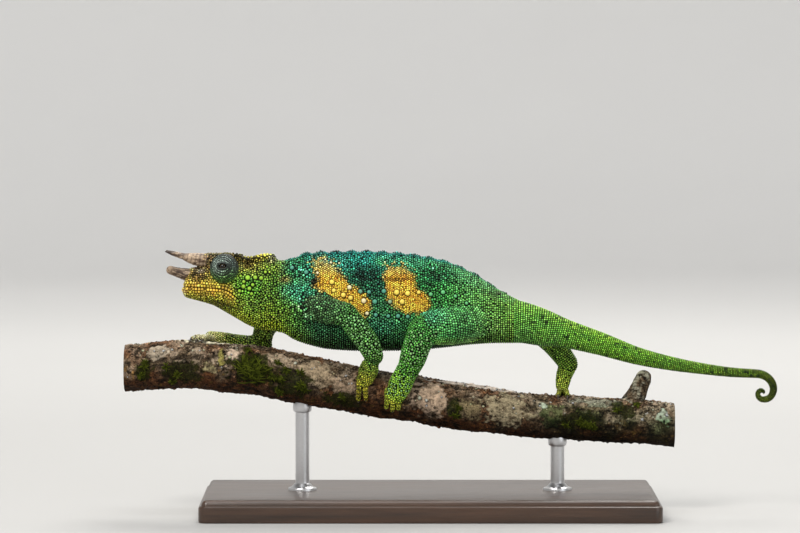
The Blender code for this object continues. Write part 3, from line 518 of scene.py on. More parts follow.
def bell(distance, width):
    """A bell curve, 1 at no distance and 1/e at the width."""
    return np.exp(-((distance / width) ** 2))


def off_spot(x, z, spot_x, spot_z, long=1.0, tall=1.0):
    """How far places are from a spot, in half lengths and half heights of its oval."""
    return np.hypot((x - spot_x) / long, (z - spot_z) / tall)


x, y, z = skin_points.T
way_out = face_normals(skin_points)
lip_gap, _ = off_line(x, z, MOUTH)
on_head = (x < HEAD_END) * held((HEAD_END - x) / 2.0)
deeper = held((x + 77.0) / 4.0)
swell = -(0.4 + 0.4 * deeper) * bell(lip_gap, 0.34) * on_head
swell += 0.20 * (bell(lip_gap - 1.0, 0.6) + bell(lip_gap + 1.1, 0.65)) * on_head
for side, sign in SIDES.items():
    near = sign * y > 0.0
    rim = off_spot(x, z, EYE[side][0], EYE[side][2], 1.0, EYE_TALL)
    swell -= 0.45 * bell(rim - EYE_RADIUS - 0.5, 0.7) * near * (x < -62.0)
    swell -= 0.9 * bell(off_spot(x, z, *NOSTRIL), 0.55) * near
swell -= 0.55 * bell(off_spot(x, z, *TEMPLE), 1.6)
swell += 0.30 * bell(off_spot(x, z, *CHEEK), 4.0) * (np.abs(y) > 2.0)
for line, depth, width in ((JAW_FOLD, 0.3, 0.7), (FLANK_FOLD, 0.22, 0.6), (SIDE_FOLD, 0.22, 0.6)):
    gap, share = off_line(x, z, line)
    swell -= depth * bell(gap, width) * np.sin(np.pi * held(share)) ** 0.5 * (np.abs(y) > 2.0)
skin_points += way_out * swell[:, None]
skin_normals = face_normals(skin_points)


# -------------------- scales
# Small closed domes over the whole skin, in rows that run round the body, tail and legs. They are
# finer on the face and the feet, and larger tubercles stand among them on cheek, flanks and legs.

RANDOM = np.random.default_rng(11)
ROW_STEP = 0.87  # rows are this share of the pitch apart, as in a honeycomb
TAIL_ROW_STEP = 1.04  # the tail's scales stand in clear rings


def scale_roots(rings, pitch, jitter, row_step=ROW_STEP):
    """Places for scales on a tube of rings, in rows round it: a row's scales are a pitch apart
    and half a pitch off those of the row before, and rows are row_step pitches apart. pitch is
    one number for each ring. Returns the places, the way along the tube there, the pitch, and
    (along, round) in millimetres. Rows are straighter on belly, feet and rump than elsewhere."""
    steps = np.linalg.norm(np.diff(rings, axis=0), axis=2).mean(axis=1)
    run = np.concatenate([[0.0], np.cumsum(steps)])
    rows = np.concatenate([[0.0], np.cumsum(steps / (row_step * 0.5 * (pitch[1:] + pitch[:-1])))])
    rows *= max(1.0, round(rows[-1])) / rows[-1]
    at = np.interp(np.arange(0.5, rows[-1]), rows, np.arange(len(rings)))
    places, ahead, sizes, flat = [], [], [], []
    for number, spot in enumerate(at):
        i = min(int(spot), len(rings) - 2)
        part = spot - i
        ring = rings[i] * (1.0 - part) + rings[i + 1] * part
        loop = np.vstack([ring, ring[:1]])
        arc = runs(loop)
        size = pitch[i] * (1.0 - part) + pitch[i + 1] * part
        count = max(3, int(round(arc[-1] / size)))
        turn = (np.arange(count) + 0.5 * (number % 2) + RANDOM.normal(0.0, jitter, count)) / count
        turn = (turn % 1.0) * arc[-1]
        lie = np.vstack([rings[i + 1] - rings[i], rings[i + 1][:1] - rings[i][:1]])
        places.append(np.column_stack([np.interp(turn, arc, loop[:, k]) for k in range(3)]))
        ahead.append(np.column_stack([np.interp(turn, arc, lie[:, k]) for k in range(3)]))
        sizes.append(np.full(count, size))
        flat.append(np.column_stack([np.full(count, np.interp(spot, np.arange(len(run)), run)), turn]))
    places, ahead = np.vstack(places), unit(np.vstack(ahead))
    stray = RANDOM.normal(0.0, jitter, len(places)) * np.interp(places[:, 2], [62.0, 74.0], [0.35, 1.0])
    stray *= np.interp(places[:, 0], [10.0, 28.0], [1.0, 0.3])
    places += ahead * (stray * np.concatenate(sizes))[:, None]
    return places, ahead, np.concatenate(sizes), np.vstack(flat)


PITCH_X = [-90.0, -78.0, -66.0, -52.0, -30.0, 5.0, 22.0]
PITCH = [0.74, 0.78, 0.84, 0.89, 0.93, 0.92, 0.80]
JITTER = {"trunk": 0.13, "tail": 0.035, "upper": 0.11, "lower": 0.11, "palm": 0.09, "toe": 0.04,
          "brow": 0.08, "seat": 0.1, "bar": 0.1}

roots = {key: [] for key in ("place", "ahead", "pitch", "flat", "chart", "order")}
charts = []


def add_roots(name, place, ahead, pitch, flat, order):
    """Adds the roots of one chart of the unwrap. Where roots are too close, a low order stays."""
    charts.append(name)
    chart = np.full(len(place), len(charts) - 1)
    for key, values in zip(roots, (place, ahead, pitch, flat, chart, np.full(len(place), order))):
        roots[key].append(values)


ROOT_PITCH = {"upper": 0.94, "lower": 0.88, "palm": 0.76, "toe": 0.60, "brow": 0.85, "seat": 0.80}
ROOT_ORDER = ["brow", "seat", "lower", "palm", "upper", "toe", "tail", "trunk"]
for name, rings in flesh:
    kind = next(key for key in JITTER if key in name)
    middle_x = rings.mean(axis=1)[:, 0]
    row_step = ROW_STEP
    if kind == "trunk":
        rings = rings[middle_x < TAIL[0][0] + 0.1]
        middle_x = rings[:, 0, 0]
        pitch = np.interp(middle_x, PITCH_X, PITCH)
        row_step = np.interp(middle_x[1:], [8.0, 24.0], [ROW_STEP, TAIL_ROW_STEP])
    elif kind == "tail":
        pitch = np.interp(middle_x, [30.0, 70.0, 115.0], [0.80, 0.68, 0.56])
        row_step = TAIL_ROW_STEP
    else:
        pitch = np.full(len(rings), ROOT_PITCH[kind])
    add_roots(name, *scale_roots(rings, pitch, JITTER[kind], row_step), ROOT_ORDER.index(kind) + 1)

skin_tree = BVHTree.FromPolygons(skin_points.tolist(), skin_faces.tolist())


def seen(x, z, side):
    """Where level rays from outside, at the given x and height, meet the skin of one side."""
    inwards = Vector((0.0, -SIDES[side], 0.0))
    return [skin_tree.ray_cast(Vector((a, 0.0, b)) - 30.0 * inwards, inwards)[0] for a, b in zip(x, z)]


def on_side(x, z, side):
    """The same, with a place far off the skin for a ray that meets nothing."""
    return np.array([(a, 8.0 * SIDES[side], b) if hit is None else hit
                     for a, b, hit in zip(x, z, seen(x, z, side))])


def cloud(points, size, seed):
    """Smooth noise from -1 to 1: random numbers on a cubic lattice of that size, blended by the
    curve 3t^2 - 2t^3 between the eight corners of each cell."""
    table = np.random.default_rng(seed).uniform(-1.0, 1.0, (32, 32, 32))
    at = np.asarray(points) / size
    low = np.floor(at).astype(int)
    t = at - low
    t = t * t * (3.0 - 2.0 * t)
    total = 0.0
    for corner in np.ndindex(2, 2, 2):
        weight = np.prod(np.where(corner, t, 1.0 - t), axis=1)
        total = total + weight * table[tuple(((low + corner) % 32).T)]
    return total


def within(x, z, outline, soft, rough=0.0):
    """How far places lie inside a closed outline, from 0 to 1 over a soft edge moved by rough.
    A place is inside if a level line from it crosses the outline an odd number of times."""
    ring = np.vstack([outline, outline[:1]])
    start, end = ring[:-1], ring[1:]
    gap = np.abs(off_line(x, z, ring)[0])
    level = (start[:, 1] > z[:, None]) != (end[:, 1] > z[:, None])
    slope = (end[:, 0] - start[:, 0]) / np.where(end[:, 1] == start[:, 1], 1.0, end[:, 1] - start[:, 1])
    crossed = level & (x[:, None] < start[:, 0] + slope * (z[:, None] - start[:, 1]))
    inside = np.where(crossed.sum(axis=1) % 2 == 1, gap, -gap)
    return held(0.5 + (inside + rough) / (2.0 * soft))


# The two bars of the flank as outlines of (x, height). Their scales are finer than those round them.
BAR_FRONT = [(-42.7, 91.4), (-37.7, 91.4), (-34.7, 89.2), (-29.7, 83.7), (-26.7, 80.6), (-23.4, 79),
             (-21.5, 76.2), (-20.9, 74.1), (-22, 72.1), (-24.8, 71.6), (-27, 73.8), (-31.4, 76.2),
             (-39.1, 80.6), (-41.8, 82), (-40.5, 84.5), (-41.3, 87.3)]
BAR_REAR = [(-14.8, 89.2), (-16.2, 86.4), (-15.7, 82.8), (-15.1, 79), (-13.8, 76.2), (-11.5, 74.1),
            (-8.3, 72.6), (-4.3, 72.4), (-1.2, 73.6), (-0.6, 75.5), (-1.7, 78.4), (-5.3, 82.8),
            (-7.2, 87.3), (-9.7, 89.6)]
BAR_PITCH = 0.72
for side in SIDES:
    for outline in (BAR_FRONT, BAR_REAR):
        low, high = np.min(outline, axis=0), np.max(outline, axis=0)
        across, up = np.meshgrid(np.arange(low[0], high[0], ROW_STEP * BAR_PITCH),
                                 np.arange(low[1], high[1], BAR_PITCH), indexing="ij")
        up = up + 0.5 * BAR_PITCH * (np.arange(len(up)) % 2)[:, None]
        spots = np.column_stack([across.ravel(), up.ravel()])
        spots += RANDOM.normal(0.0, 0.08, spots.shape)
        spots = spots[within(spots[:, 0], spots[:, 1], outline, 0.3) > 0.5]
        place = on_side(spots[:, 0], spots[:, 1], side)
        on_flank = np.abs(place[:, 1]) < row_at(TRUNK, place[:, 0])[:, 2] + 0.3
        place, count = place[on_flank], int(on_flank.sum())
        add_roots(f"bar_{side}", place, np.tile((1.0, 0.0, 0.0), (count, 1)), np.full(count, BAR_PITCH),
                  place[:, [0, 2]] - low, 0.5)

# Tubercles as (x, height, radius), on both sides: pale ones round the forward bar, teal ones
# between the bars, yellow ones in the bars, and green plates on the cheek.
TUBERCLES = {
    "cream": [(-28.9, 81.5, 0.95), (-23.8, 76.8, 1.05), (-22.6, 72.3, 0.8), (-40.4, 86.6, 0.6),
              (-35.6, 90.2, 0.6), (-37.6, 91.3, 0.5), (-32.6, 90, 0.5)],
    "teal": [(-25, 80.1, 0.9), (-21.9, 79.9, 0.85), (-16.6, 80.2, 0.95), (-19.8, 76.5, 1),
             (-14.4, 76.5, 0.85), (-11.5, 71.4, 0.9), (-15, 71.4, 0.8), (-19.5, 71.8, 0.85),
             (-44.5, 86.8, 0.95), (-8, 71.2, 0.8), (-49.6, 88.3, 0.9), (-30.4, 88.9, 0.6)],
    "yellow": [(-35.2, 83.4, 1.05), (-34.5, 80.4, 0.9), (-31.1, 78.8, 1), (-28.5, 77.8, 1),
               (-12, 79.8, 1.1), (-8.1, 79.4, 1.1), (-10, 76.5, 1.1), (-4.1, 79.8, 0.85)],
    "leaf": [(0.2, 79.1, 0.85), (4.6, 79.8, 0.9), (9, 78.4, 0.75), (13, 75.9, 0.7)],
    "cheek": [(-65.4, 85, 1), (-62.7, 85.1, 0.88), (-60.6, 84.9, 0.85), (-66.8, 83.6, 0.7),
              (-63.6, 82.5, 0.7), (-66.9, 81.9, 0.85), (-64.8, 81.2, 0.82), (-68.3, 80.3, 0.7),
              (-58.5, 88.8, 0.6), (-59.1, 87, 0.65), (-64, 79.3, 0.7), (-67.9, 85.6, 0.6)],
}
big = {"place": [], "pitch": [], "kind": []}


def add_big(kind, place, pitch):
    """Adds larger scales of one kind at these places, as broad as pitch."""
    big["place"].append(np.array(place))
    big["pitch"].append(pitch)
    big["kind"] += [kind] * len(place)


for kind, rows in TUBERCLES.items():
    x, z, radius = np.array(rows).T
    for side in SIDES:
        add_big(kind, on_side(x, z, side), 2.1 * radius)

# Rows of squarish scales along the lips: their distance above the mouth, and their size.
for offset, size in ((0.64, 1.08), (1.56, 0.98), (-0.66, 1.10), (-1.62, 1.0), (-2.5, 0.9)):
    line = np.array(MOUTH)
    s = np.arange(1.0 + (0.5 * size if abs(offset) > 1.0 else 0.0), runs(line)[-1] - 0.3, size)
    s += RANDOM.normal(0.0, 0.11, len(s))
    spots = blend(s, runs(line), line)
    lean = unit(np.gradient(spots, axis=0))
    offset = offset + RANDOM.normal(0.0, 0.09, len(s)) * (abs(offset) > 1.0)
    x, z = spots[:, 0] - lean[:, 1] * offset, spots[:, 1] + lean[:, 0] * offset
    for side in SIDES:
        add_big("lip", on_side(x, z, side), size * RANDOM.uniform(0.82, 1.12, len(s)))

# Pale beads on the outer face of the forearms, the shins and the rear feet, in loose rows.
beaded = [(leg, "lower", 11, 2.0) for leg in LEGS]
beaded += [("rear_left", "palm", 7, 1.5), ("rear_right", "palm", 7, 1.5)]
for leg, length, rows, size in beaded:
    path, radii = LEGS[leg][length][:2]
    spine = blend(np.linspace(0.0, 0.92, rows), np.linspace(0, 1, len(path)), np.column_stack([path, radii]))
    for turn in (-62.0, -38.0, -15.0, 8.0, 31.0, 54.0):
        turns = np.radians(turn + 11.0 * (np.arange(rows) % 2) + RANDOM.normal(0.0, 3.0, rows))
        x = spine[:, 0] + np.sin(turns) * spine[:, 3]
        hits = seen(x, spine[:, 2] + RANDOM.normal(0.0, 0.3, rows), leg.split("_")[1])
        found = [hit for hit in hits if hit is not None]
        add_big("mint", found, size * RANDOM.uniform(0.38, 0.62, len(found)))

# Knobs on the rim of the casque, which runs back from each brow, and in three rows on its middle.
KNOB_SIZES = (0.95, 1.3)
for side, sign in SIDES.items():
    ridge = np.array(mirrored(BROW, side))
    s = np.arange(0.4, runs(ridge)[-1], 1.05)
    rim = blend(s, runs(ridge), np.column_stack([ridge, BROW_RADII]))
    for turn in (math.radians(12.0), math.radians(62.0)):
        place = rim[:, :3] + rim[:, 3:] * np.array([0.0, sign * math.sin(turn), math.cos(turn)])
        place = place + RANDOM.normal(0.0, 0.12, place.shape)
        add_big("casque", place, RANDOM.uniform(*KNOB_SIZES, len(place)))
x = np.arange(-70.0, -57.0, 1.15)
top = row_at(TRUNK, x)[:, 0]
for y in (-1.3, 0.0, 1.3):
    place = np.column_stack([x, np.full(len(x), y), top - 0.1 * abs(y)])
    add_big("casque", place, RANDOM.uniform(*KNOB_SIZES, len(x)))

big_count = len(big["kind"])
place = np.vstack(big["place"])
BODY_MIDDLE, GIRTH = 75.0, 16.0  # height of the body's middle, and millimetres of girth in a radian
turn = np.arctan2(place[:, 1], place[:, 2] - BODY_MIDDLE)
add_roots("tubercles", place, np.tile((1.0, 0.0, 0.0), (big_count, 1)), np.concatenate(big["pitch"]),
          np.column_stack([place[:, 0] + 95.0, GIRTH * (turn + np.pi)]), 0)

place, ahead, pitch, flat, chart, order = (np.concatenate(values) for values in roots.values())
kind = np.array(["small"] * (len(place) - big_count) + big["kind"])


def tree_of(points):
    """A tree that finds the points near a place."""
    tree = KDTree(len(points))
    for number, spot in enumerate(points):
        tree.insert(spot, number)
    tree.balance()
    return tree


def clear_of_eyes(points):
    """Which points lie outside both balls of lids."""
    return np.all([np.linalg.norm((points - np.array(eye)) / (1.0, 1.0, EYE_TALL), axis=1) > EYE_RADIUS + 0.1
                   for eye in EYE.values()], axis=0)


# Roots go to the nearest place of the skin, and those that lie deep in another part are dropped.
REACH = 0.8
found = [skin_tree.find_nearest(Vector(spot)) for spot in place]
spots = np.array([hit[0] for hit in found])
outward = np.array([skin_normals[skin_faces[hit[2]]].mean(axis=0) for hit in found])
near = (np.linalg.norm(spots - place, axis=1) < REACH) & clear_of_eyes(spots)
place, ahead, pitch, flat, chart, order, kind, outward = (
    values[near] for values in (spots, ahead, pitch, flat, chart, order, kind, unit(outward)))

# Where two rows of different parts meet, the scale that comes first keeps its place.
CLOSEST, CLEAR = 0.78, 0.90  # two scales are at least this share of their mean pitch apart
BROADEST = 2.2  # the pitch of the largest neighbour that is looked for
closest = np.where(np.isin(kind, ["small", "mint", "lip", "casque"]), CLOSEST, CLEAR)
kept = np.zeros(len(place), bool)
tree = tree_of(place)
for number in np.argsort(order, kind="stable"):
    size, share = pitch[number], closest[number]
    kept[number] = not any(
        kept[other] and distance < max(share, closest[other]) * 0.5 * (size + pitch[other])
        for _, other, distance in tree.find_range(place[number], CLEAR * 0.5 * (size + BROADEST)))
place, ahead, pitch, flat, chart, kind, outward = (
    values[kept] for values in (place, ahead, pitch, flat, chart, kind, outward))

# Holes that are left are filled with smaller scales, largest hole first. Each takes its direction
# and its place on the unwrap from the scale nearest to it.
SMALLEST = [0.20, 0.26]  # the radius of the smallest hole that gets a scale, on the snout and behind
OWN_REACH = 0.47  # how far a scale goes from its root, as a share of its pitch
off_mouth = np.abs(off_line(skin_points[:, 0], skin_points[:, 2], MOUTH)[0]) > 0.4
free = np.flatnonzero(clear_of_eyes(skin_points) & off_mouth)
for _ in range(2):
    tree = tree_of(place)
    found = [tree.find_n(Vector(spot), 5) for spot in skin_points[free]]
    near = np.array([[hit[1] for hit in hits] for hits in found])
    room = (np.array([[hit[2] for hit in hits] for hits in found]) - OWN_REACH * pitch[near]).min(axis=1)
    wide = room > np.interp(skin_points[free][:, 0], [-72.0, -66.0], SMALLEST)
    holes, room = free[wide], room[wide]
    hole_tree = tree_of(skin_points[holes])
    taken = np.zeros(len(holes), bool)
    for number in np.argsort(-room, kind="stable"):
        around = hole_tree.find_range(skin_points[holes[number]], 2.0 * room[number])
        taken[number] = not any(taken[other] for _, other, _ in around)
    small = np.flatnonzero(kind == "small")
    tree = tree_of(place[small])
    spots = skin_points[holes[taken]]
    near = small[[tree.find(Vector(spot))[1] for spot in spots]]
    step = spots - place[near]
    around = np.cross(outward[near], ahead[near])
    step = np.column_stack([dot(step, ahead[near]), dot(step, around)])
    place, outward = np.vstack([place, spots]), np.vstack([outward, skin_normals[holes[taken]]])
    ahead, flat = np.vstack([ahead, ahead[near]]), np.vstack([flat, flat[near] + step])
    pitch = np.concatenate([pitch, 2.0 * room[taken]])
    chart, kind = np.concatenate([chart, chart[near]]), np.concatenate([kind, kind[near]])
part = np.array(charts)[chart]


# -------------------- markings
# The colours of skin and scales: a turquoise back over a dark teal flank with two yellow-orange
# bars, an olive neck and throat, green cheeks, yellow-orange lips, and green legs and tail.

# Along the trunk: x, then the colour at the back, on the upper and the lower flank, and below.
TRUNK_COLOURS = [
    (-90, (0.3, 0.22, 0.06), (0.42, 0.31, 0.05), (0.4, 0.32, 0.04), (0.26, 0.26, 0.03)),
    (-81, (0.2, 0.15, 0.06), (0.34, 0.28, 0.04), (0.3, 0.27, 0.03), (0.17, 0.18, 0.015)),
    (-73, (0.14, 0.12, 0.04), (0.16, 0.24, 0.03), (0.24, 0.25, 0.025), (0.15, 0.18, 0.012)),
    (-65, (0.22, 0.2, 0.03), (0.11, 0.2, 0.025), (0.12, 0.22, 0.025), (0.245, 0.285, 0.015)),
    (-57, (0.17, 0.25, 0.03), (0.075, 0.16, 0.017), (0.075, 0.15, 0.016), (0.245, 0.325, 0.016)),
    (-49, (0.025, 0.14, 0.05), (0.038, 0.15, 0.04), (0.06, 0.17, 0.026), (0.1, 0.17, 0.016)),
    (-40, (0.016, 0.16, 0.11), (0.03, 0.15, 0.065), (0.03, 0.14, 0.055), (0.021, 0.055, 0.015)),
    (-24, (0.014, 0.18, 0.13), (0.014, 0.085, 0.036), (0.036, 0.175, 0.058), (0.018, 0.044, 0.014)),
    (-8, (0.03, 0.21, 0.1), (0.015, 0.1, 0.03), (0.038, 0.175, 0.054), (0.015, 0.04, 0.013)),
    (4, (0.04, 0.22, 0.075), (0.022, 0.15, 0.026), (0.042, 0.175, 0.043), (0.017, 0.044, 0.015)),
    (14, (0.07, 0.24, 0.08), (0.07, 0.23, 0.05), (0.07, 0.2, 0.05), (0.06, 0.14, 0.028)),
    (33, (0.1, 0.24, 0.04), (0.13, 0.29, 0.035), (0.13, 0.28, 0.035), (0.1, 0.2, 0.025)),
]
FLANK_KNOTS = [0.0, 0.30, 0.68, 0.93]  # shares of the height where below, lower, upper and back lie
TAIL_COLOURS = [(30, (0.104, 0.31, 0.045)), (65, (0.118, 0.3, 0.024)), (95, (0.085, 0.19, 0.016)),
                (115, (0.07, 0.125, 0.009)), (126, (0.05, 0.078, 0.004))]
LEG_COLOURS = {
    "front_left": ((0.034, 0.07, 0.029), (0.075, 0.26, 0.05), (0.105, 0.15, 0.014), (0.4, 0.36, 0.03)),
    "front_right": ((0.12, 0.18, 0.025), (0.11, 0.19, 0.022), (0.24, 0.27, 0.05), (0.72, 0.66, 0.32)),
    "rear_left": ((0.048, 0.195, 0.055), (0.05, 0.22, 0.03), (0.13, 0.35, 0.03), (0.43, 0.48, 0.04)),
    "rear_right": ((0.09, 0.22, 0.03), (0.095, 0.21, 0.025), (0.17, 0.27, 0.028), (0.34, 0.38, 0.04)),
}
BAR_YELLOW = (0.64, 0.38, 0.04)
BAR_ORANGE = (0.44, 0.20, 0.015)

SHOULDER_SPOT = (-41.6, 83.5, 1.25, 1.15)  # nearly black
# A line under the upper arm, along which the flank gets painted shade.
ARM_CREASE_SHADE = [(-50.0, 71.0), (-44.0, 69.9), (-38.0, 69.0), (-32.0, 67.8), (-28.0, 66.0)]

# Soft patches of another colour, and one of painted shade: x, height, half length, half height, share,
# colour.
PATCHES = [
    (-64.5, 90.3, 4.5, 1.7, 0.75, (0.085, 0.06, 0.018)),   # temple
    (-80.8, 88.6, 3.2, 3.4, 0.8, (0.09, 0.055, 0.022)),    # between horns and eye
    (-83.8, 85.2, 3.5, 2.4, 0.92, (0.062, 0.038, 0.014)),   # round the nostril
    (-65.5, 82, 5, 3.6, 0.8, (0.06, 0.25, 0.018)),    # cheek
    (-75.5, 75.2, 5, 1.3, 0.65, (0.1, 0.09, 0.01)),     # band along the jaw
    (-71.3, 77.3, 1.1, 0.7, 0.85, (0.05, 0.04, 0.01)),     # corner of the mouth
    (-88.4, 80.6, 0.9, 2.2, 0.8, (0.6, 0.5, 0.26)),     # tip of the upper lip
    (-58, 72, 7, 3.6, 0.45, (0.17, 0.24, 0.016)),    # paler back of the throat
    (-82.6, 87.3, 1.7, 0.7, 0.85, (0.36, 0.28, 0.19)),     # pale fold between horns and eye
    # Painted shade: the crevice above the pale fold is darkened.
    (-84.2, 89.4, 2, 0.6, 0.9, (0.02, 0.012, 0.008)),   # crevice above it
    (-56.9, 91.6, 2.2, 1.9, 0.9, (0.09, 0.085, 0.045)),   # knobs at the casque's end
    (-52, 84.3, 2.2, 1.4, 0.55, (0.24, 0.13, 0.035)),    # neck
    (-61.5, 92.4, 3.5, 1.3, 0.8, (0.42, 0.38, 0.04)),     # rim of the casque
    (-46.8, 80, 6, 3.6, 0.8, (0.04, 0.25, 0.14)),    # shoulder
    (-49, 88.5, 3.6, 3.2, 0.75, (0.012, 0.095, 0.045)),    # nape
    (-23, 86.5, 5.2, 3, 0.85, (0.004, 0.036, 0.018)),  # dark between the bars
    (-20, 81.5, 4.4, 3.6, 0.6, (0.006, 0.055, 0.03)),
    (-33, 90.3, 3, 1.5, 0.5, (0.05, 0.24, 0.15)),
    (2.5, 85.5, 5.8, 3.6, 0.85, (0.004, 0.042, 0.013)),    # dark behind the bars
    (-17, 90.6, 3, 1.6, 0.5, (0.05, 0.26, 0.07)),
    (23.8, 79, 3.2, 0.7, 0.8, (0.03, 0.06, 0.012)),     # dark marks on the rump
    (-18, 68, 6, 3.5, 0.5, (0.03, 0.15, 0.1)),     # teal under the bars
]


def laid(base, colour, share):
    """A colour, or one for each place, with a share of another laid on it."""
    return base + (np.asarray(colour) - base) * np.asarray(share)[..., None]


def trunk_colours(points):
    """Colours of the trunk: the table above blended along x, then by height, and the bars and
    patches laid on it."""
    x, y, z = points.T
    rows = row_at(TRUNK_COLOURS, x).reshape(-1, 4, 3)
    top, bottom = row_at(TRUNK, np.clip(x, TRUNK[0][0], TRUNK[-1][0]))[:, :2].T
    high = (z - bottom) / (top - bottom) + 0.05 * cloud(points, 4.0, 3)
    colour = rows[:, 3].copy()
    for k in range(3):
        part = held((high - FLANK_KNOTS[k]) / (FLANK_KNOTS[k + 1] - FLANK_KNOTS[k]))
        part = part * part * (3.0 - 2.0 * part)
        upper, lower = rows[:, 2 - k], rows[:, 3 - k]
        colour = np.where((high > FLANK_KNOTS[k])[:, None], lower + (upper - lower) * part[:, None], colour)
    spine = held((high - 0.94) / 0.05) * held((46.0 + x) / 6.0)
    colour = laid(colour, (0.012, 0.14, 0.125), 0.55 * spine * held((14.0 - x) / 12.0))
    rough = 0.9 * cloud(points, 2.2, 5) + 0.5 * cloud(points, 0.9, 6)
    for patch_x, patch_z, long, tall, share, tone in PATCHES:
        reach = off_spot(x, z, patch_x, patch_z, long, tall) + 0.25 * rough
        colour = laid(colour, tone, share * np.exp(-np.clip(reach, 0.0, None) ** 3))
    orange = held(0.45 + 0.6 * cloud(points, 1.6, 8) + 0.3 * cloud(points, 5.0, 9))
    bar = laid(BAR_YELLOW, BAR_ORANGE, orange)
    faded = held((z - 85.0) / 4.5)
    bar = laid(bar, (0.50, 0.40, 0.08), 0.6 * faded)
    for outline in (BAR_FRONT, BAR_REAR):
        share = within(x, z, outline, 0.9, rough + 2.2 * faded * cloud(points, 0.45, 7))
        colour = laid(colour, bar, share * (1.0 - 0.35 * faded))
    dark_spot = bell(off_spot(x, z, *SHOULDER_SPOT), 1.0) ** 0.5
    colour = laid(colour, (0.003, 0.005, 0.004), np.clip(2.2 * dark_spot - 0.7, 0.0, 0.97))
    # Painted shade in the creases of the flank, under the upper arm and along the jaw.
    for line, width in ((FLANK_FOLD, 0.6), (ARM_CREASE_SHADE, 1.1), (JAW_FOLD, 0.5)):
        fold, share = off_line(x, z, line)
        colour = laid(colour, colour * 0.15, 0.9 * bell(fold, width) * np.sin(np.pi * share) ** 0.5)
    lip, _ = off_line(x, z, MOUTH)
    on_lip = bell(lip + 0.15, 2.1) * held((-69.5 - x) / 2.5)
    lip_colour = np.where(lip[:, None] > 0.0, (0.56, 0.36, 0.045), (0.46, 0.28, 0.035))
    colour = laid(colour, lip_colour, 0.9 * on_lip)
    # Painted shade along the closed mouth, in the groove between the lips.
    shut = np.interp(x, [-88.0, -78.0, -69.5, -67.5], [0.45, 0.6, 1.0, 0.0])
    return laid(colour, (0.03, 0.012, 0.004), bell(lip, 0.3) * shut)


def tail_colours(points):
    """Green along the tail, lighter and yellower on top and darker below, with dark clouds and specks."""
    x, y, z = points.T
    colour = row_at(TAIL_COLOURS, x)
    tail_x, middle, half, _ = np.array(TAIL).T
    back = np.clip((z - np.interp(x, tail_x, middle)) / np.interp(x, tail_x, half), -1.0, 1.0)
    colour = laid(colour, colour * (1.5, 1.2, 1.0), held(1.6 * back - 0.6))
    colour = laid(colour, colour * (0.9, 0.75, 0.9), held(-back))
    speck = held(5.0 * cloud(points, 1.3, 21) - 2.6)
    cloudy = held(0.35 + 0.9 * cloud(points, 5.0, 22))
    return laid(laid(colour, colour * (0.6, 0.7, 1.1), 0.6 * cloudy), (0.006, 0.016, 0.004), 0.9 * speck)


# Painted shade of folds of skin at the ankle and the wrist, which are not modelled: x, height, half length,
# half height.
LEG_FOLD_SHADES = [(-8.6, 51.3, 2.6, 0.5), (-20.6, 55.4, 2.2, 0.6), (-22.0, 58.2, 1.2, 0.5)]


def leg_colours(points, leg, length, along):
    """The colour of one length of a leg, which runs into the next at both ends. The thigh goes
    over into the rump and has painted light along its lower edge, toes have painted shade in bands
    across them, and the near wrist and ankle have painted shade in their folds."""
    number = ["upper", "lower", "palm", "toe"].index(length)
    before, own, after = (LEG_COLOURS[leg][min(max(number + k, 0), 3)] for k in (-1, 0, 1))
    share = held(along / max(along.max(), 1.0))
    colour = laid(laid(own, after, 0.5 * share**2), before, 0.5 * (1.0 - share) ** 1.5)
    mottle = 0.5 + 0.5 * cloud(points, 2.6, 31)
    colour = laid(colour, colour * 0.55, 0.6 * mottle)
    if length == "upper" and leg.startswith("rear"):
        x, _, z = points.T
        colour = laid(colour, trunk_colours(points), np.interp(x, [9.0, 21.0], [0.0, 0.9]))
        colour = laid(colour, (0.024, 0.19, 0.13), 0.5 * bell(off_spot(x, z, 0.0, 72.0, 5.0, 3.5), 1.0))
        # Painted light: the lower edge of the thigh is lightened to yellow-green, as if lit through.
        colour = laid(colour, (0.17, 0.34, 0.03), 0.6 * held((64.5 - z) / 4.0))
    # Painted shade in bands across the toes, between their segments.
    if length == "toe":
        deep = 0.6 if leg == "front_right" else 0.8
        colour = laid(colour, colour * 0.08, np.clip(2.0 * np.sin(along * 4.65) - 0.3, 0.0, deep))
    # Painted shade in the folds at the near wrist and ankle.
    for fold in LEG_FOLD_SHADES if leg.endswith("left") else []:
        off = off_spot(points[:, 0], points[:, 2], *fold)
        colour = laid(colour, colour * 0.1, 0.9 * bell(off + 0.3 * cloud(points, 0.9, 32), 1.0))
    return colour


tone = np.empty_like(place)
for name in dict.fromkeys(part):
    rows = part == name
    if name.startswith(tuple(LEGS)):
        first, second, length = name.split("_")[:3]
        tone[rows] = leg_colours(place[rows], f"{first}_{second}", length, flat[rows][:, 0])
    elif name == "tail":
        tone[rows] = tail_colours(place[rows])
    else:
        tone[rows] = trunk_colours(place[rows])

# Skin shows only as the dark net between the scales, partly its own darker colour and partly painted
# shade. It takes the colour of the nearest one, dark where that is green and less dark where it is
# orange and along the tail.
GAP_SHADE, BAR_GAP = 0.05, 0.24
tree = tree_of(place)
nearest = np.array([tree.find(Vector(spot))[1] for spot in skin_points])
warmth = held((tone[:, 0] - tone[:, 1]) * 8.0)  # 1 where it is orange
warm = warmth[nearest] * np.interp(skin_points[:, 0], [-72.0, -66.0, -50.0, -46.0], [1.0, 0.25, 0.25, 1.0])
warm = np.maximum(warm, np.clip((skin_points[:, 0] - 34.0) / 40.0, 0.0, 0.9) * (part[nearest] == "tail"))
skin_tint = tone[nearest] * (GAP_SHADE + (BAR_GAP - GAP_SHADE) * warm)[:, None]


# -------------------- finish of the skin
# Thin dry skin that shows only between the scales. Most finishes of the model are made in the same
# way: the mesh's own colours, mottled and roughened by a fine noise.


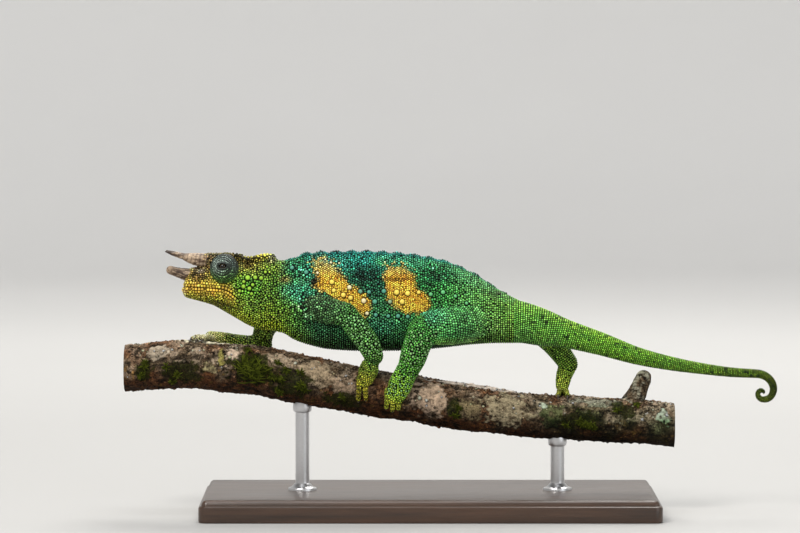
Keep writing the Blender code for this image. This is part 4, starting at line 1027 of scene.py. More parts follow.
class Wire:
    """A socket of a material's nodes. An expression on wires adds its Math nodes, and node()
    adds a node of any other type."""

    def __init__(self, tree, socket=None):
        self.tree = tree
        self.socket = socket

    def node(self, kind, settings=None, inputs=None, output=0):
        """Adds a node: its settings first (stops fill a colour ramp), then values or wires for its
        sockets. Returns a wire from one of its outputs."""
        made = self.tree.nodes.new(kind)
        for name, value in (settings or {}).items():
            if name == "stops":
                for number, (position, colour) in enumerate(value):
                    ramp = made.color_ramp.elements
                    stop = ramp[number] if number < 2 else ramp.new(position)
                    stop.position = position
                    stop.color = (*colour, 1.0)
            else:
                setattr(made, name, value)
        for name, value in (inputs or {}).items():
            if isinstance(value, Wire):
                self.tree.links.new(value.socket, made.inputs[name])
            else:
                made.inputs[name].default_value = value
        return Wire(self.tree, made.outputs[output])

    def maths(self, operation, a, b):
        """A Math node on two wires or numbers."""
        return self.node("ShaderNodeMath", {"operation": operation}, {0: a, 1: b})

    def __add__(self, other):
        return self.maths("ADD", self, other)

    def __sub__(self, other):
        return self.maths("SUBTRACT", self, other)

    def __rsub__(self, other):
        return self.maths("SUBTRACT", other, self)

    def __mul__(self, other):
        return self.maths("MULTIPLY", self, other)

    __radd__ = __add__
    __rmul__ = __mul__

    def clipped(self, low, high):
        """This wire held between two numbers."""
        return self.node("ShaderNodeClamp", {}, {0: self, 1: low, 2: high})

    def mix(self, low, high, way="MIX", share=None):
        """The colour low where this wire, or the share if it is given, is 0, and high where it is 1."""
        return self.node("ShaderNodeMix", {"data_type": "RGBA", "blend_type": way},
                         {0: self if share is None else share, 6: low, 7: high}, 2)

    def shaded(self, shade):
        """This colour, each channel multiplied by a shade."""
        grey = self.node("ShaderNodeCombineColor", {}, {0: shade, 1: shade, 2: shade})
        return self.mix(self, grey, "MULTIPLY", 1.0)


def finish(name, **constants):
    """A material whose shader has these constant values, and a wire to its nodes."""
    material = bpy.data.materials.new(name)
    material.use_nodes = True
    shader = material.node_tree.nodes["Principled BSDF"]
    for socket, value in constants.items():
        shader.inputs[socket.replace("_", " ")].default_value = value
    return material, Wire(material.node_tree)


def feed(material, **wires):
    """Joins wires to sockets of the material's shader."""
    shader = material.node_tree.nodes["Principled BSDF"]
    for socket, wire in wires.items():
        material.node_tree.links.new(wire.socket, shader.inputs[socket.replace("_", " ")])


def speckle(wire, scale, detail=2.0, roughness=0.6, squeeze=None):
    """Noise on Object coordinates, squeezed along an axis where a grain runs."""
    at = wire.node("ShaderNodeTexCoord", {}, {}, 3)
    if squeeze:
        at = wire.node("ShaderNodeMapping", {}, {"Vector": at, "Scale": squeeze})
    return wire.node("ShaderNodeTexNoise", {}, {"Vector": at, "Scale": scale, "Detail": detail,
                                                "Roughness": roughness})


def bumped(height, strength, distance):
    """A normal that follows a wire as a fine relief."""
    return height.node("ShaderNodeBump", {}, {"Height": height, "Strength": strength, "Distance": distance})


def tinted(name, grain, roughness, spread, bump, **constants):
    """A finish whose colour is the mesh's own tint, mottled and roughened by noise of a grain."""
    material, wire = finish(name, Roughness=roughness, **constants)
    noise = speckle(wire, grain, 3.0)
    tint = wire.node("ShaderNodeAttribute", {"attribute_name": "tint"})
    feed(material, Base_Color=tint.shaded(noise * spread + (1.0 - 0.5 * spread)),
         Roughness=noise * 0.25 + (roughness - 0.125), Normal=bumped(noise, bump, 0.0001))
    return material


FLESH_NODES = [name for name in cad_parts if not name.startswith(("stand", "perch", "horn", "eye"))]
fitted(piece("skin", skin_points, [skin_faces], skin_tint),
       tinted("skin", 3000.0, 0.6, 0.5, 0.6, Specular_IOR_Level=0.06), "body_skin", *FLESH_NODES)


# -------------------- coat of scales
# Each scale is a closed, many-sided dome rooted in the skin, that reaches nearly halfway to each of
# its neighbours, and has painted shade at its foot and a painted highlight on its top. They are
# joined in pieces by region, and each is a small patch on the unwrap of the skin's tubes.

DOME_SIDES = 8
DOME = np.array([(1.0, -0.5, 0.02), (0.90, 0.36, 0.16), (0.58, 0.84, 1.0)])  # width, height and shade
PLATE = np.array([(1.0, -0.5, 0.02), (0.95, 0.50, 0.40), (0.78, 0.88, 0.95)])  # the same for large ones
DOME_TOP_SHADE, PLATE_TOP_SHADE, LIGHTEST = 1.7, 1.1, 0.95
FOOT_SOFT = 0.45  # the shade of the foot of a scale whose own colour runs down to it
GROOVE, RING = 0.05, 0.22  # the gap between two scales, and round a large tubercle
NEIGHBOURS, LEAST_REACH = 12, 0.08
PATCH = 0.003  # the size of a scale's patch on the unwrap

# Height over pitch and the furthest reach over pitch, for each kind of scale.
SHAPES = {
    "trunk": (0.28, 0.6), "tail": (0.22, 0.56), "upper": (0.26, 0.6), "lower": (0.26, 0.6),
    "palm": (0.22, 0.6), "toe": (0.2, 0.66), "brow": (0.4, 0.54), "seat": (0.34, 0.56),
    "bar": (0.24, 0.6), "cream": (0.36, 0.5), "teal": (0.34, 0.5), "yellow": (0.34, 0.5),
    "leaf": (0.32, 0.5), "cheek": (0.22, 0.5), "mint": (0.34, 0.5), "lip": (0.26, 0.53),
    "casque": (0.4, 0.52),
}
SHINE = 1.75  # how much lighter a scale is than the colour of its region seen from afar
BEAD_COLOURS = {"cream": (0.8, 0.76, 0.48), "teal": (0.09, 0.34, 0.24), "yellow": (0.82, 0.66, 0.12),
                "leaf": (0.14, 0.5, 0.2), "cheek": (0.31, 0.55, 0.04), "mint": (0.34, 0.68, 0.24)}

forms = np.array([bead if bead != "small" else next(key for key in JITTER if key in name)
                  for name, bead in zip(part, kind)])
high, furthest = (np.array([SHAPES[form] for form in forms]) * pitch[:, None]).T
bead_tone = tone * SHINE * RANDOM.lognormal(-0.06, 0.36, (len(tone), 1))
bead_tone *= 1.0 + RANDOM.normal(0.0, 0.07, tone.shape)
for bead, colour in BEAD_COLOURS.items():
    rows = forms == bead
    own = 0.8 if bead != "mint" else 0.65
    bead_tone[rows] = bead_tone[rows] * (1.0 - own) + own * np.array(colour)

# Some scales of a form are paler or duller: their form, how many, times the colour, plus a colour.
ODD_ONES = [("trunk", 0.1, 1.5, (0.02, 0.05, 0.03)), ("upper", 0.28, 1.7, (0.02, 0.05, 0.025)),
            ("casque", 0.35, 0.2, (0, 0, 0))]
for form, many, times, plus in ODD_ONES:
    rows = (RANDOM.random(len(tone)) < many) & (forms == form)
    bead_tone[rows] = bead_tone[rows] * times + plus

# Dark and pale scales stand side by side: x, height, half length, half height, contrast.
KNOBBY = [(-83, 86, 4.5, 3.4, 0.8), (-57, 92, 2.4, 2.2, 1.4), (-64.5, 90, 4, 1.6, 0.8),
          (-22.5, 85.5, 6, 4, 0.8), (2.5, 85, 6, 4, 0.8), (-47, 88, 5, 4, 0.8),
          (-45, 74, 7, 6, 0.8)]
own_colour = np.isin(forms, list(BEAD_COLOURS))
for *oval, contrast in KNOBBY:
    share = bell(off_spot(place[:, 0], place[:, 2], *oval), 1.0)
    contrast = contrast * ~own_colour
    bead_tone *= np.exp(contrast * share * RANDOM.normal(0.0, 1.0, len(share)))[:, None]


def unwrap(chart, flat):
    """Lays the flattened tubes side by side on shelves, widest first, scaled to the unit square."""
    uv = np.empty((len(chart), 2))
    boxes = []
    for number in np.unique(chart):
        rows = chart == number
        low, size = flat[rows].min(axis=0), np.ptp(flat[rows], axis=0) + 1.0
        boxes.append((size[1], size[0], rows, low))
    boxes.sort(key=lambda box: -box[0])
    width = max(1.1 * math.sqrt(sum(box[0] * box[1] for box in boxes)), max(box[1] for box in boxes))
    across, up, shelf = 0.0, 0.0, 0.0
    for girth, length, rows, low in boxes:
        if across and across + length > width:
            across, up, shelf = 0.0, up + shelf, 0.0
        uv[rows] = flat[rows] - low + (across + 0.5, up + 0.5)
        across, shelf = across + length, max(shelf, girth)
    return uv / max(width, up + shelf)


def spokes(sides):
    """Directions that part a circle evenly, as (along, across)."""
    turn = full_turn(sides) + np.pi / sides
    return np.column_stack([np.cos(turn), np.sin(turn)])


def laid_flat(ahead, outward):
    """The way ahead, brought square to the way out."""
    return unit(ahead - dot(ahead, outward)[:, None] * outward)


def reaches(place, lie, side, pitch, furthest, groove, sides=DOME_SIDES):
    """How far each scale goes in each of its directions: to the line between it and a neighbour,
    which cuts the way between their roots in the ratio of their pitches, less half a groove.
    Along a direction u, that line is share * |d|^2 / (d . u) away, for a neighbour at d."""
    tree = tree_of(place)
    near = np.array([[hit[1] for hit in tree.find_n(Vector(spot), NEIGHBOURS + 1)[1:]] for spot in place])
    away = place[near] - place[:, None]
    flat_away = np.stack([np.einsum("ijk,ik->ij", away, lie), np.einsum("ijk,ik->ij", away, side)], axis=-1)
    share = pitch[:, None] / (pitch[:, None] + pitch[near])
    towards = flat_away @ spokes(sides).T
    line = (share * (flat_away**2).sum(-1))[..., None] / np.maximum(towards, 1e-6)
    reach = np.minimum(line.min(axis=1), furthest[:, None]) - 0.5 * np.reshape(groove, (-1, 1))
    return np.maximum(reach, LEAST_REACH)


def coat(name, slot, finish, bed, rows, reach, soft=0.0, plate=0.0):
    """Domes on the chosen roots of a bed: each point is root + (lie * cos + side * sin) * width *
    reach + outward * height, with the widths and heights of the template's rings. soft is how far
    a scale's colour runs down to its foot, and plate how far it has the flatter template. A bed
    holds roots, the ways out and ahead, heights, colours, charts and places on them."""
    root, out, lie, high, tone, chart, flat = (values[rows] for values in bed)
    sides = reach.shape[1]
    soft, plate = (np.broadcast_to(value, len(rows))[rows] for value in (soft, plate))
    form = DOME + plate[:, None, None] * (PLATE - DOME)
    side = np.cross(out, lie)
    turn = spokes(sides)
    spoke = (turn[None, :, :1] * lie[:, None] + turn[None, :, 1:] * side[:, None]) * reach[rows][..., None]
    lift = (form[..., 1] * high[:, None])[..., None, None] * out[:, None, None]
    rings = [root[:, None] + spoke * form[:, k, :1, None] + lift[:, k] for k in range(len(DOME))]
    points = np.concatenate([*rings, (root + high[:, None] * out)[:, None]], axis=1)
    # Painted shade and highlight: each ring's colour is the scale's tone times its shade, darkest at the foot
    # and lightest on top.
    tops = DOME_TOP_SHADE + plate * (PLATE_TOP_SHADE - DOME_TOP_SHADE)
    shades = np.column_stack([np.repeat(form[:, :, 2], sides, axis=1), tops])
    shades += soft[:, None] * np.where(shades < FOOT_SOFT, FOOT_SOFT - shades, 0.0)
    tint = np.clip(tone[:, None] * shades[..., None], 0.0, LIGHTEST)
    count = shades.shape[1]
    tops = fan(count - 1, 2 * sides, sides)[:, [1, 2, 0]]
    foot = np.arange(sides)[::-1][None]
    faces = [repeated(group, len(root), count) for group in (tube_faces(len(DOME), sides), tops, foot)]
    spread = np.vstack([turn * width for width, _, _ in DOME] + [[(0.0, 0.0)]]) * (0.5 * PATCH)
    uv = (unwrap(chart, flat)[:, None] + spread[None]).reshape(-1, 2)
    fitted(piece(name, points.reshape(-1, 3), faces, tint.reshape(-1, 3), uv), finish, slot)


lie = laid_flat(ahead, outward)
ringed = np.isin(forms, ["cheek", "cream", "teal", "yellow", "leaf"])
soft = np.where(np.isin(forms, ["lip", "bar"]), 0.6, np.where(np.isin(forms, ["palm", "toe"]), 0.35, 0.0))
rear = np.interp(place[:, 0], [8.0, 36.0, 75.0], [0.0, 0.3, 0.8])
soft = np.where(np.isin(forms, ["tail", "trunk"]), rear, soft)
soft = np.maximum(soft, 0.7 * warmth * held((HEAD_END - place[:, 0]) / 4.0))
plate = np.where(ringed, 1.0, np.where(np.isin(forms, ["mint", "lip"]), 0.5, 0.0))
reach = reaches(place, lie, np.cross(outward, lie), pitch, furthest, np.where(ringed, RING, GROOVE))
# Rows stand apart on the belly, round the tail and at the back of the forearm.
apart = np.where(forms == "trunk", held((72.0 - place[:, 2]) / 8.0), 0.0)
apart = np.maximum(apart, np.clip((place[:, 0] - 15.0) / 50.0, 0.0, 0.3))
apart = np.where(forms == "lower", held(1.6 * outward[:, 0]), apart)
apart = np.where(forms == "tail", 0.3, apart)
reach = reach * (1.0 - 0.28 * apart[:, None] * np.abs(spokes(DOME_SIDES)[:, 0]))
scale_finish = tinted("scales", 5000.0, 0.40, 0.3, 0.25, Specular_IOR_Level=0.17)
body = (place, outward, lie, high, bead_tone, chart, flat)
on_trunk = np.isin(forms, ["trunk", "brow", "seat", "bar", "lip", "casque"])
TRUNK_CUTS = [-100.0, -76.0, -64.0, -52.0, -38.0, -26.0, -14.0, 0.0, 16.0, 40.0]
for number, (start, end) in enumerate(zip(TRUNK_CUTS[:-1], TRUNK_CUTS[1:])):
    rows = on_trunk & (place[:, 0] >= start) & (place[:, 0] < end)
    slot = "head_skin" if end < -50.0 else "body_skin"
    coat(f"scales_body_{number + 1}", slot, scale_finish, body, rows, reach, soft, plate)
PLATE_SIDES, ROUNDEST = 20, 1.15  # a large scale is at most this many times as long as broad
round_reach = reaches(place, lie, np.cross(outward, lie), pitch, furthest, RING, PLATE_SIDES)
round_reach = np.minimum(round_reach, ROUNDEST * round_reach.min(axis=1, keepdims=True))
coat("scales_large", "body_skin", scale_finish, body, ringed, round_reach, soft, plate)
TAIL_CUT = 62.0
for name, rows in (("root", place[:, 0] < TAIL_CUT), ("tip", place[:, 0] >= TAIL_CUT)):
    coat(f"scales_tail_{name}", "tail_skin", scale_finish, body, rows & (forms == "tail"), reach, soft)
for leg in LEGS:
    mint = (forms == "mint") & ((place[:, 0] < -14.0) == leg.startswith("front"))
    mint &= (place[:, 1] < 0.0) == leg.endswith("left")
    rows = np.char.startswith(part, leg) | mint
    coat(f"scales_leg_{leg}", "limb_skin", scale_finish, body, rows, reach, soft, plate)


# -------------------- eyes
# A chameleon's eye is a ball of lids with rings of fine scales, open only at a small oval in front,
# where the wet dark eye shows. Each turns on its own; these look ahead and a little up.

GAZE = {"left": unit((-0.13, -0.95, 0.26)), "right": unit((-0.30, 0.95, 0.06))}
LID_RADIUS, LID_BULGE = EYE_RADIUS - 0.2, 4.55  # of the ball of lids, across the gaze and along it
LID_GRAIN = 0.78  # from one ring of scales to the next
OPENING = (1.5, 0.9)  # half width and half height of the oval between the lids
LID_END, SCALES_END = math.radians(112.0), math.radians(100.0)  # how far off the gaze they go
BALL, PUPIL, IRIS = 1.45, 0.66, 0.74  # radii of the eye between the lids, its pupil and gold ring
EYE_DARK, EYE_GREEN = np.array((0.030, 0.044, 0.036)), np.array((0.028, 0.072, 0.010))


def lid_place(theta, turn, side):
    """Places on the ball of lids: theta is the angle off the gaze and turn the angle round it, so
    that a place is centre + gaze * bulge * cos(theta) + ring * radius * sin(theta). Towards the
    opening the rings flatten to its oval."""
    gaze = GAZE[side]
    level = unit(np.cross(gaze, (0.0, 0.0, 1.0)))
    up = np.cross(level, gaze)
    share = held((theta - math.asin(OPENING[0] / LID_RADIUS)) / 0.55)
    squeeze = OPENING[1] / OPENING[0] + (1.0 - OPENING[1] / OPENING[0]) * share
    out = np.cos(turn)[..., None] * level + (np.sin(turn) * squeeze)[..., None] * up
    off = (np.cos(theta) * LID_BULGE)[..., None] * gaze + (np.sin(theta) * LID_RADIUS)[..., None] * out
    return np.array(EYE[side]) + off * (1.0, 1.0, EYE_TALL), level, up


eye_finish = tinted("eyelids", 4000.0, 0.38, 0.3, 0.4, Specular_IOR_Level=0.25)
ball_finish = tinted("eyeball", 2500.0, 0.10, 0.1, 0.05, Specular_IOR_Level=0.2,
                     Coat_Weight=0.2, Coat_Roughness=0.03)
rim = math.asin(OPENING[0] / LID_RADIUS)
for side in SIDES:
    centre = np.array(EYE[side])
    theta, turn = np.meshgrid(np.linspace(rim, LID_END, 90), full_turn(120), indexing="ij")
    wave = 0.10 * np.cos(2.0 * np.pi * (theta - rim - 0.06) * EYE_RADIUS / LID_GRAIN)
    rings, level, up = lid_place(theta, turn, side)
    rings = rings + unit(rings - centre) * (wave + 0.16 * bell(theta - rim, 0.10))[..., None]
    lip = rings[:1] - 0.9 * GAZE[side] - 0.12 * unit(rings[:1] - rings[:1].mean(axis=1, keepdims=True))
    rings = np.concatenate([lip, rings])
    points, faces = closed(rings)
    height = (points - centre)[:, 2] / EYE_RADIUS
    # Painted shade: the skin of the lids is darkened, as it shows only between their scales.
    tint = laid(EYE_DARK, EYE_GREEN, held(0.3 - 0.9 * height)) * 0.3
    fitted(piece(f"eyelids_{side}", points, faces, tint), eye_finish, "eyelid_skin", f"eye_turret_{side}")

    # Scales in rings on the lids, finest round the opening.
    thetas = np.arange(rim + 0.06, SCALES_END, LID_GRAIN / EYE_RADIUS)
    beds = []
    for number, angle in enumerate(thetas):
        girth = 2.0 * np.pi * EYE_RADIUS * math.sin(angle)
        broad = 0.60 if angle > 0.5 else 0.5
        count = max(8, int(round(girth / broad)))
        turn = (np.arange(count) + 0.5 * (number % 2) + RANDOM.normal(0.0, 0.12, count)) / count
        turn = turn * 2.0 * np.pi
        ring, level, up = lid_place(angle + RANDOM.normal(0.0, 0.010, count), turn, side)
        ahead_of, _, height = (ring - centre).T * [[-1.0], [1.0], [1.0]] / EYE_RADIUS
        shade = laid(EYE_DARK, EYE_GREEN, held(0.15 - 1.1 * height))
        # Painted highlight, over a partly paler colour of the lids: a pale ring round the opening, brightest
        # at its upper front.
        pale = bell(angle - 0.50, 0.24) * held(0.35 + 1.2 * ahead_of + 0.8 * height)
        shade = laid(shade, (0.20, 0.26, 0.22), 0.85 * pale)
        dark = bell(angle - 0.45, 0.22) * np.clip(-1.6 * ahead_of, 0.0, 0.85)
        shade = laid(shade, (0.004, 0.006, 0.005), dark)
        brown = np.clip((angle - 0.95) * 2.5, 0.0, 0.85) * held(0.3 + 1.2 * height)
        shade = laid(shade, (0.018, 0.013, 0.007), brown)
        shade = shade * (1.7 + 1.7 * (number % 2) * (angle > 0.6))
        specks = (RANDOM.random(count) < 0.2) & (height < 0.1) & (angle > 0.45)
        shade[specks] = shade[specks] * 2.0 + (0.02, 0.05, 0.01)
        beds.append((ring, unit(ring - centre + 0.35 * GAZE[side]), np.full(count, girth / count),
                     shade * RANDOM.lognormal(0.0, 0.38, (count, 1)),
                     np.column_stack([np.full(count, angle * EYE_RADIUS), turn * EYE_RADIUS])))
    place, outward, pitch, tone, flat = (np.concatenate(values) for values in zip(*beds))
    ahead = unit(place - centre - ((place - centre) @ GAZE[side])[:, None] * GAZE[side])
    lie = laid_flat(ahead, outward)
    reach = reaches(place, lie, np.cross(outward, lie), pitch, 0.68 * pitch, 0.04)
    reach = reach * (1.0 - 0.12 * np.abs(spokes(DOME_SIDES)[:, 0]))
    bed = (place, outward, lie, 0.24 * pitch, tone, np.zeros(len(place), int), flat)
    coat(f"scales_eyelids_{side}", "eyelid_skin", eye_finish, bed, np.ones(len(place), bool), reach)

    # The eye between the lids: a wet ball with a black pupil in a thin gold ring.
    theta, turn = np.meshgrid(np.linspace(0.02, 1.9, 40), full_turn(48), indexing="ij")
    out = np.cos(turn)[..., None] * level + np.sin(turn)[..., None] * up
    front = centre + GAZE[side] * (LID_BULGE - 0.15 - BALL)
    rings = front + BALL * (np.cos(theta)[..., None] * GAZE[side] + np.sin(theta)[..., None] * out)
    points, faces = closed(rings)
    off = np.linalg.norm(np.cross(points - front, GAZE[side]), axis=1)
    tint = laid((0.006, 0.005, 0.004), (0.08, 0.05, 0.013), bell(off - IRIS, 0.06))
    tint[off < PUPIL] = (0.002, 0.002, 0.002)
    fitted(piece(f"eyeball_{side}", points, faces, tint), ball_finish, "eyeball", f"eyeball_{side}")


# -------------------- horns
# Three horns of ringed grey-brown keratin over bone: a blunt one on the snout and a pointed pair
# from the brows. They grow out of knobby seats on the head.

HORNS = {
    "horn_rostral": ([(-84, 0, 85.3), (-87.6, 0, 85.8), (-90.3, 0, 86.45), (-93.4, 0, 87.4)],
                     [2.6, 2.3, 1.85, 1.55]),
    "horn_orbital_right": ([(-80.9, 2.8, 91.1), (-83.6, 2.95, 91.25), (-86.9, 3.1, 91.9), (-88.8, 3.2, 92.4),
                            (-92, 3.3, 93.3), (-95, 3.4, 94.25)], [2.1, 2.1, 1.5, 0.95, 0.72, 0.22]),
}
HORNS["horn_orbital_left"] = (mirrored(HORNS["horn_orbital_right"][0], "left"),
                              HORNS["horn_orbital_right"][1])
HORN_PALE, HORN_GREY = np.array((0.42, 0.31, 0.21)), np.array((0.095, 0.058, 0.036))
HORN_DARK = np.array((0.022, 0.011, 0.007))
# A horn is a tube whose points are middle + (tube - middle) * (1 + dent / radius), where the dent
# adds rings that go by |sin| along it, grooves that go by |sin| round it, and lumps of noise.
HORN_SIDES = 64
RING_STEP = 1.15  # from one ring of a pointed horn to the next, near its foot
horn_finish = tinted("horn", 1400.0, 0.5, 0.9, 0.6, Specular_IOR_Level=0.25)
for name, (path, radii) in HORNS.items():
    rings = tube_rings(path, radii, (0.0, 1.0, 0.0), HORN_SIDES, spacing=0.12, caps=12)
    middle = rings.mean(axis=1)
    run = runs(middle)
    share = run / run[-1]
    turn = full_turn(HORN_SIDES)
    blunt = name == "horn_rostral"
    pale_at, dark_from = (0.93, 0.97) if blunt else (0.45, 0.74)  # shares of its length
    if blunt:
        ring_wave = 0.05 * np.sin(2.0 * np.pi * run / 1.5) * (share < 0.75)
        groove = 0.16 * np.abs(np.sin(7.0 * turn))[None, :] ** 3 * held(share * 4.0)[:, None]
    else:
        ring_wave = 0.13 * np.abs(np.sin(np.pi * run**0.9 / RING_STEP)) * held(1.6 - 1.7 * share)
        groove = 0.06 * np.abs(np.sin(9.0 * turn))[None, :]
    lumps = 0.07 * cloud(rings.reshape(-1, 3), 0.9, 41).reshape(rings.shape[:2])
    dent = (ring_wave[:, None] - groove + lumps) * held(8.0 * (1.0 - share))[:, None]
    rings = middle[:, None] + (rings - middle[:, None]) * (1.0 + dent / max(radii))[..., None]
    points, faces = closed(rings)
    along = np.concatenate([np.repeat(share, HORN_SIDES), [0.0, 1.0]])
    across = np.concatenate([np.tile(turn, len(share)), [0.0, 0.0]])
    streak = 1.1 * cloud(points * (0.22, 1.0, 1.0), 0.75, 42) + 0.6 * cloud(points * (0.6, 1.0, 1.0), 0.5, 43)
    tint = laid(HORN_GREY, HORN_PALE, held(0.42 + 1.5 * streak))
    if blunt:
        wander = 0.35 * cloud(points * (0.3, 1.0, 1.0), 1.2, 45)
        lines = np.abs(np.sin(7.0 * (across + wander))) ** 2.5 * held(3.0 * along)
        tint = laid(tint, HORN_DARK, 0.9 * lines)
        tint = laid(tint, HORN_DARK, 0.8 * bell(across - 1.5 * np.pi, 0.35))
    tint = laid(tint, HORN_PALE * 1.2, 0.5 * bell(along - pale_at, 0.10))
    tint = laid(tint, HORN_PALE * 1.3, 0.45 * held(np.cos(across - 0.5 * np.pi)) ** 6)
    tint = laid(tint, HORN_DARK, np.clip((along - dark_from) * 6.0, 0.0, 0.85))
    tint = laid(tint, HORN_DARK, 0.8 * bell(along - 0.06, 0.05))
    tint = laid(tint, HORN_DARK, np.clip(1.6 * cloud(points, 0.5, 44) - 0.5, 0.0, 0.6))
    if not blunt:
        # Painted shade in the grooves between the rings of a pointed horn.
        valley = np.cos(2.0 * np.pi * (along * run[-1]) ** 0.9 / RING_STEP)
        tint = laid(tint, HORN_DARK, 0.65 * held(valley - 0.3))
    fitted(piece(name + "_ringed", points, faces, tint), horn_finish, "horn", name)


# -------------------- crest and claws
# Small pointed scales in low scallops along the middle of the back, and a curved claw of dark
# keratin on every toe, five to a foot.

# The ridge is as high as |cos(pi * x / scallop)| ** 1.5 says, with five rows of scales on it.
CREST_START, CREST_END, SCALLOP = -52.0, 28.0, 5.6
x = np.arange(CREST_START, CREST_END, 0.5)
wave = np.abs(np.cos(np.pi * (x + 45.0) / SCALLOP)) ** 1.5
fade = np.interp(x, [CREST_START, -43.0, CREST_END], [0.25, 1.0, 0.6])
spots, sizes = [], []
for y, share in ((-0.95, 0.45), (-0.5, 0.75), (0.0, 1.0), (0.5, 0.75), (0.95, 0.45)):
    top = row_at(TRUNK, x)[:, 0] - COAT_DEPTH - 0.25 * abs(y)
    spots.append(np.column_stack([x + RANDOM.normal(0.0, 0.1, len(x)), np.full(len(x), y), top]))
    sizes.append(fade * (0.20 + 0.80 * wave) * share * RANDOM.uniform(0.75, 1.15, len(x)) + 0.12)
place = np.vstack(spots)
outward = unit(np.column_stack([np.full(len(place), -0.05), place[:, 1] * 0.5, np.ones(len(place))]))
lie = laid_flat(np.tile((1.0, 0.0, 0.0), (len(place), 1)), outward)
high = 1.15 * np.concatenate(sizes)
reach = np.repeat((0.24 + 0.10 * high)[:, None], DOME_SIDES, axis=1)
teal = 0.6 * held((30.0 - place[:, 0]) / 10.0)
tone = laid(trunk_colours(place), (0.015, 0.12, 0.115), teal)
tone *= SHINE * RANDOM.lognormal(-0.25, 0.6, (len(place), 1))
tall = high > np.interp(place[:, 0], [12.0, 20.0], [0.75, 0.45])
tone[(RANDOM.random(len(place)) < 0.55) & tall] *= 0.12
flat = np.column_stack([place[:, 0] - CREST_START, place[:, 1] * 2.0])
bed = (place, outward, lie, high, tone, np.zeros(len(place), int), flat)
coat("scales_crest", "body_skin", scale_finish, bed, np.ones(len(place), bool), reach)

claw_finish = tinted("claws", 3000.0, 0.30, 0.4, 0.3)
for leg, table in LEGS.items():
    shapes, tints = [], []
    for group in ("outer", "inner"):
        for spec in table[group]:
            shares = np.linspace(TOE_END - 0.07, 1.0, 8)
            radii = np.interp(shares, [shares[0], 0.9, 1.0], [0.55, 0.42, 0.10])
            rise = 0.35 * np.sin(np.pi * np.linspace(0.0, 1.0, 8))
            line = toe_line(spec, shares, radii + rise)
            shapes.append(closed(tube_rings(line, radii, (1.0, 0.0, 0.0), 14, 0.25, caps=4)))
            far = np.linalg.norm(shapes[-1][0] - line[0], axis=1)
            tip = held(far / far.max() * 1.4 - 0.3)
            tints.append(laid((0.10, 0.07, 0.04), (0.015, 0.011, 0.009), tip))
    fitted(piece(f"claws_{leg}", *joined(shapes), np.vstack(tints)), claw_finish, "horn")


# -------------------- perch
# A short cut length of a living branch: cracked grey-brown bark with crusts of pale lichen, moss
# in its hollows, and a broken side twig. Both ends are sawn.

BRANCH_ALONG, BRANCH_AROUND = 400, 220
STUB = [(72.0, 0.5, 37.0), (75.0, 0.8, 43.5), (77.0, 1.2, 48.4)]
STUB_RADII = [5.2, 3.4, 3.0]
BARK_DARK, BARK_BROWN = np.array((0.026, 0.018, 0.010)), np.array((0.105, 0.073, 0.043))
BARK_PALE, BARK_RED = np.array((0.32, 0.25, 0.175)), np.array((0.125, 0.044, 0.013))
LICHENS = [  # x, angle from the top towards the camera, half length, half girth, colour
    (0, 74, 7.2, 7.4, (0.53, 0.39, 0.275)),
    (28, 80, 9.6, 7.4, (0.36, 0.3, 0.185)),
    (14, 92, 4.6, 4.6, (0.2, 0.155, 0.08)),
    (44, 85, 4.5, 6, (0.1, 0.11, 0.045)),
    (84, 70, 3, 3.5, (0.46, 0.54, 0.42)),
    (40.5, 58, 1.5, 1.2, (0.63, 0.7, 0.56)),
    (-78.6, 92, 3.2, 2.4, (0.46, 0.4, 0.2)),
    (-75, 68, 1.3, 4.4, (0.36, 0.32, 0.08)),
    (-70.5, 52, 3.4, 2.2, (0.7, 0.54, 0.4)),
    (-81, 8, 10, 1.6, (0.72, 0.67, 0.49)),
    (-53.5, 48, 6.5, 3.6, (0.42, 0.32, 0.22)),
    (-41, 62, 8, 5.6, (0.36, 0.275, 0.175)),
    (-31, 84, 5, 5, (0.33, 0.24, 0.16)),
    (16, 8, 18, 1.8, (0.63, 0.54, 0.46)),
    (60, 30, 9, 3, (0.26, 0.26, 0.19)),
    (-98, 50, 4.5, 3, (0.42, 0.35, 0.26)),
    (10, -100, 9, 6, (0.49, 0.44, 0.3)),
    (-52, -90, 8, 5, (0.53, 0.46, 0.33)),
    (-85, -60, 6, 4, (0.58, 0.49, 0.35)),
    (60, -80, 6, 5, (0.42, 0.47, 0.33)),
]
MOSSES = [  # x, angle, half length, half girth
    (-64, 82, 8.6, 7.2), (-51, 100, 9, 6.4), (-88, 108, 7, 4.6), (-103, 95, 4, 4),
    (8.5, 92, 2.4, 5), (54, 92, 7, 5), (70, 50, 6, 4), (-31, 116, 7, 3.4),
    (-70, -100, 14, 6), (30, -110, 12, 5), (-20, -60, 7, 4), (76, -90, 7, 5),
]
MOSS_DARK, MOSS_PALE = np.array((0.016, 0.021, 0.002)), np.array((0.085, 0.105, 0.010))


def ridged(points, size, seed):
    """Noise whose creases are sharp: 1 less twice the size of smooth noise, so that its zero
    lines stand up as ridges."""
    return 1.0 - 2.0 * np.abs(cloud(points, size, seed))


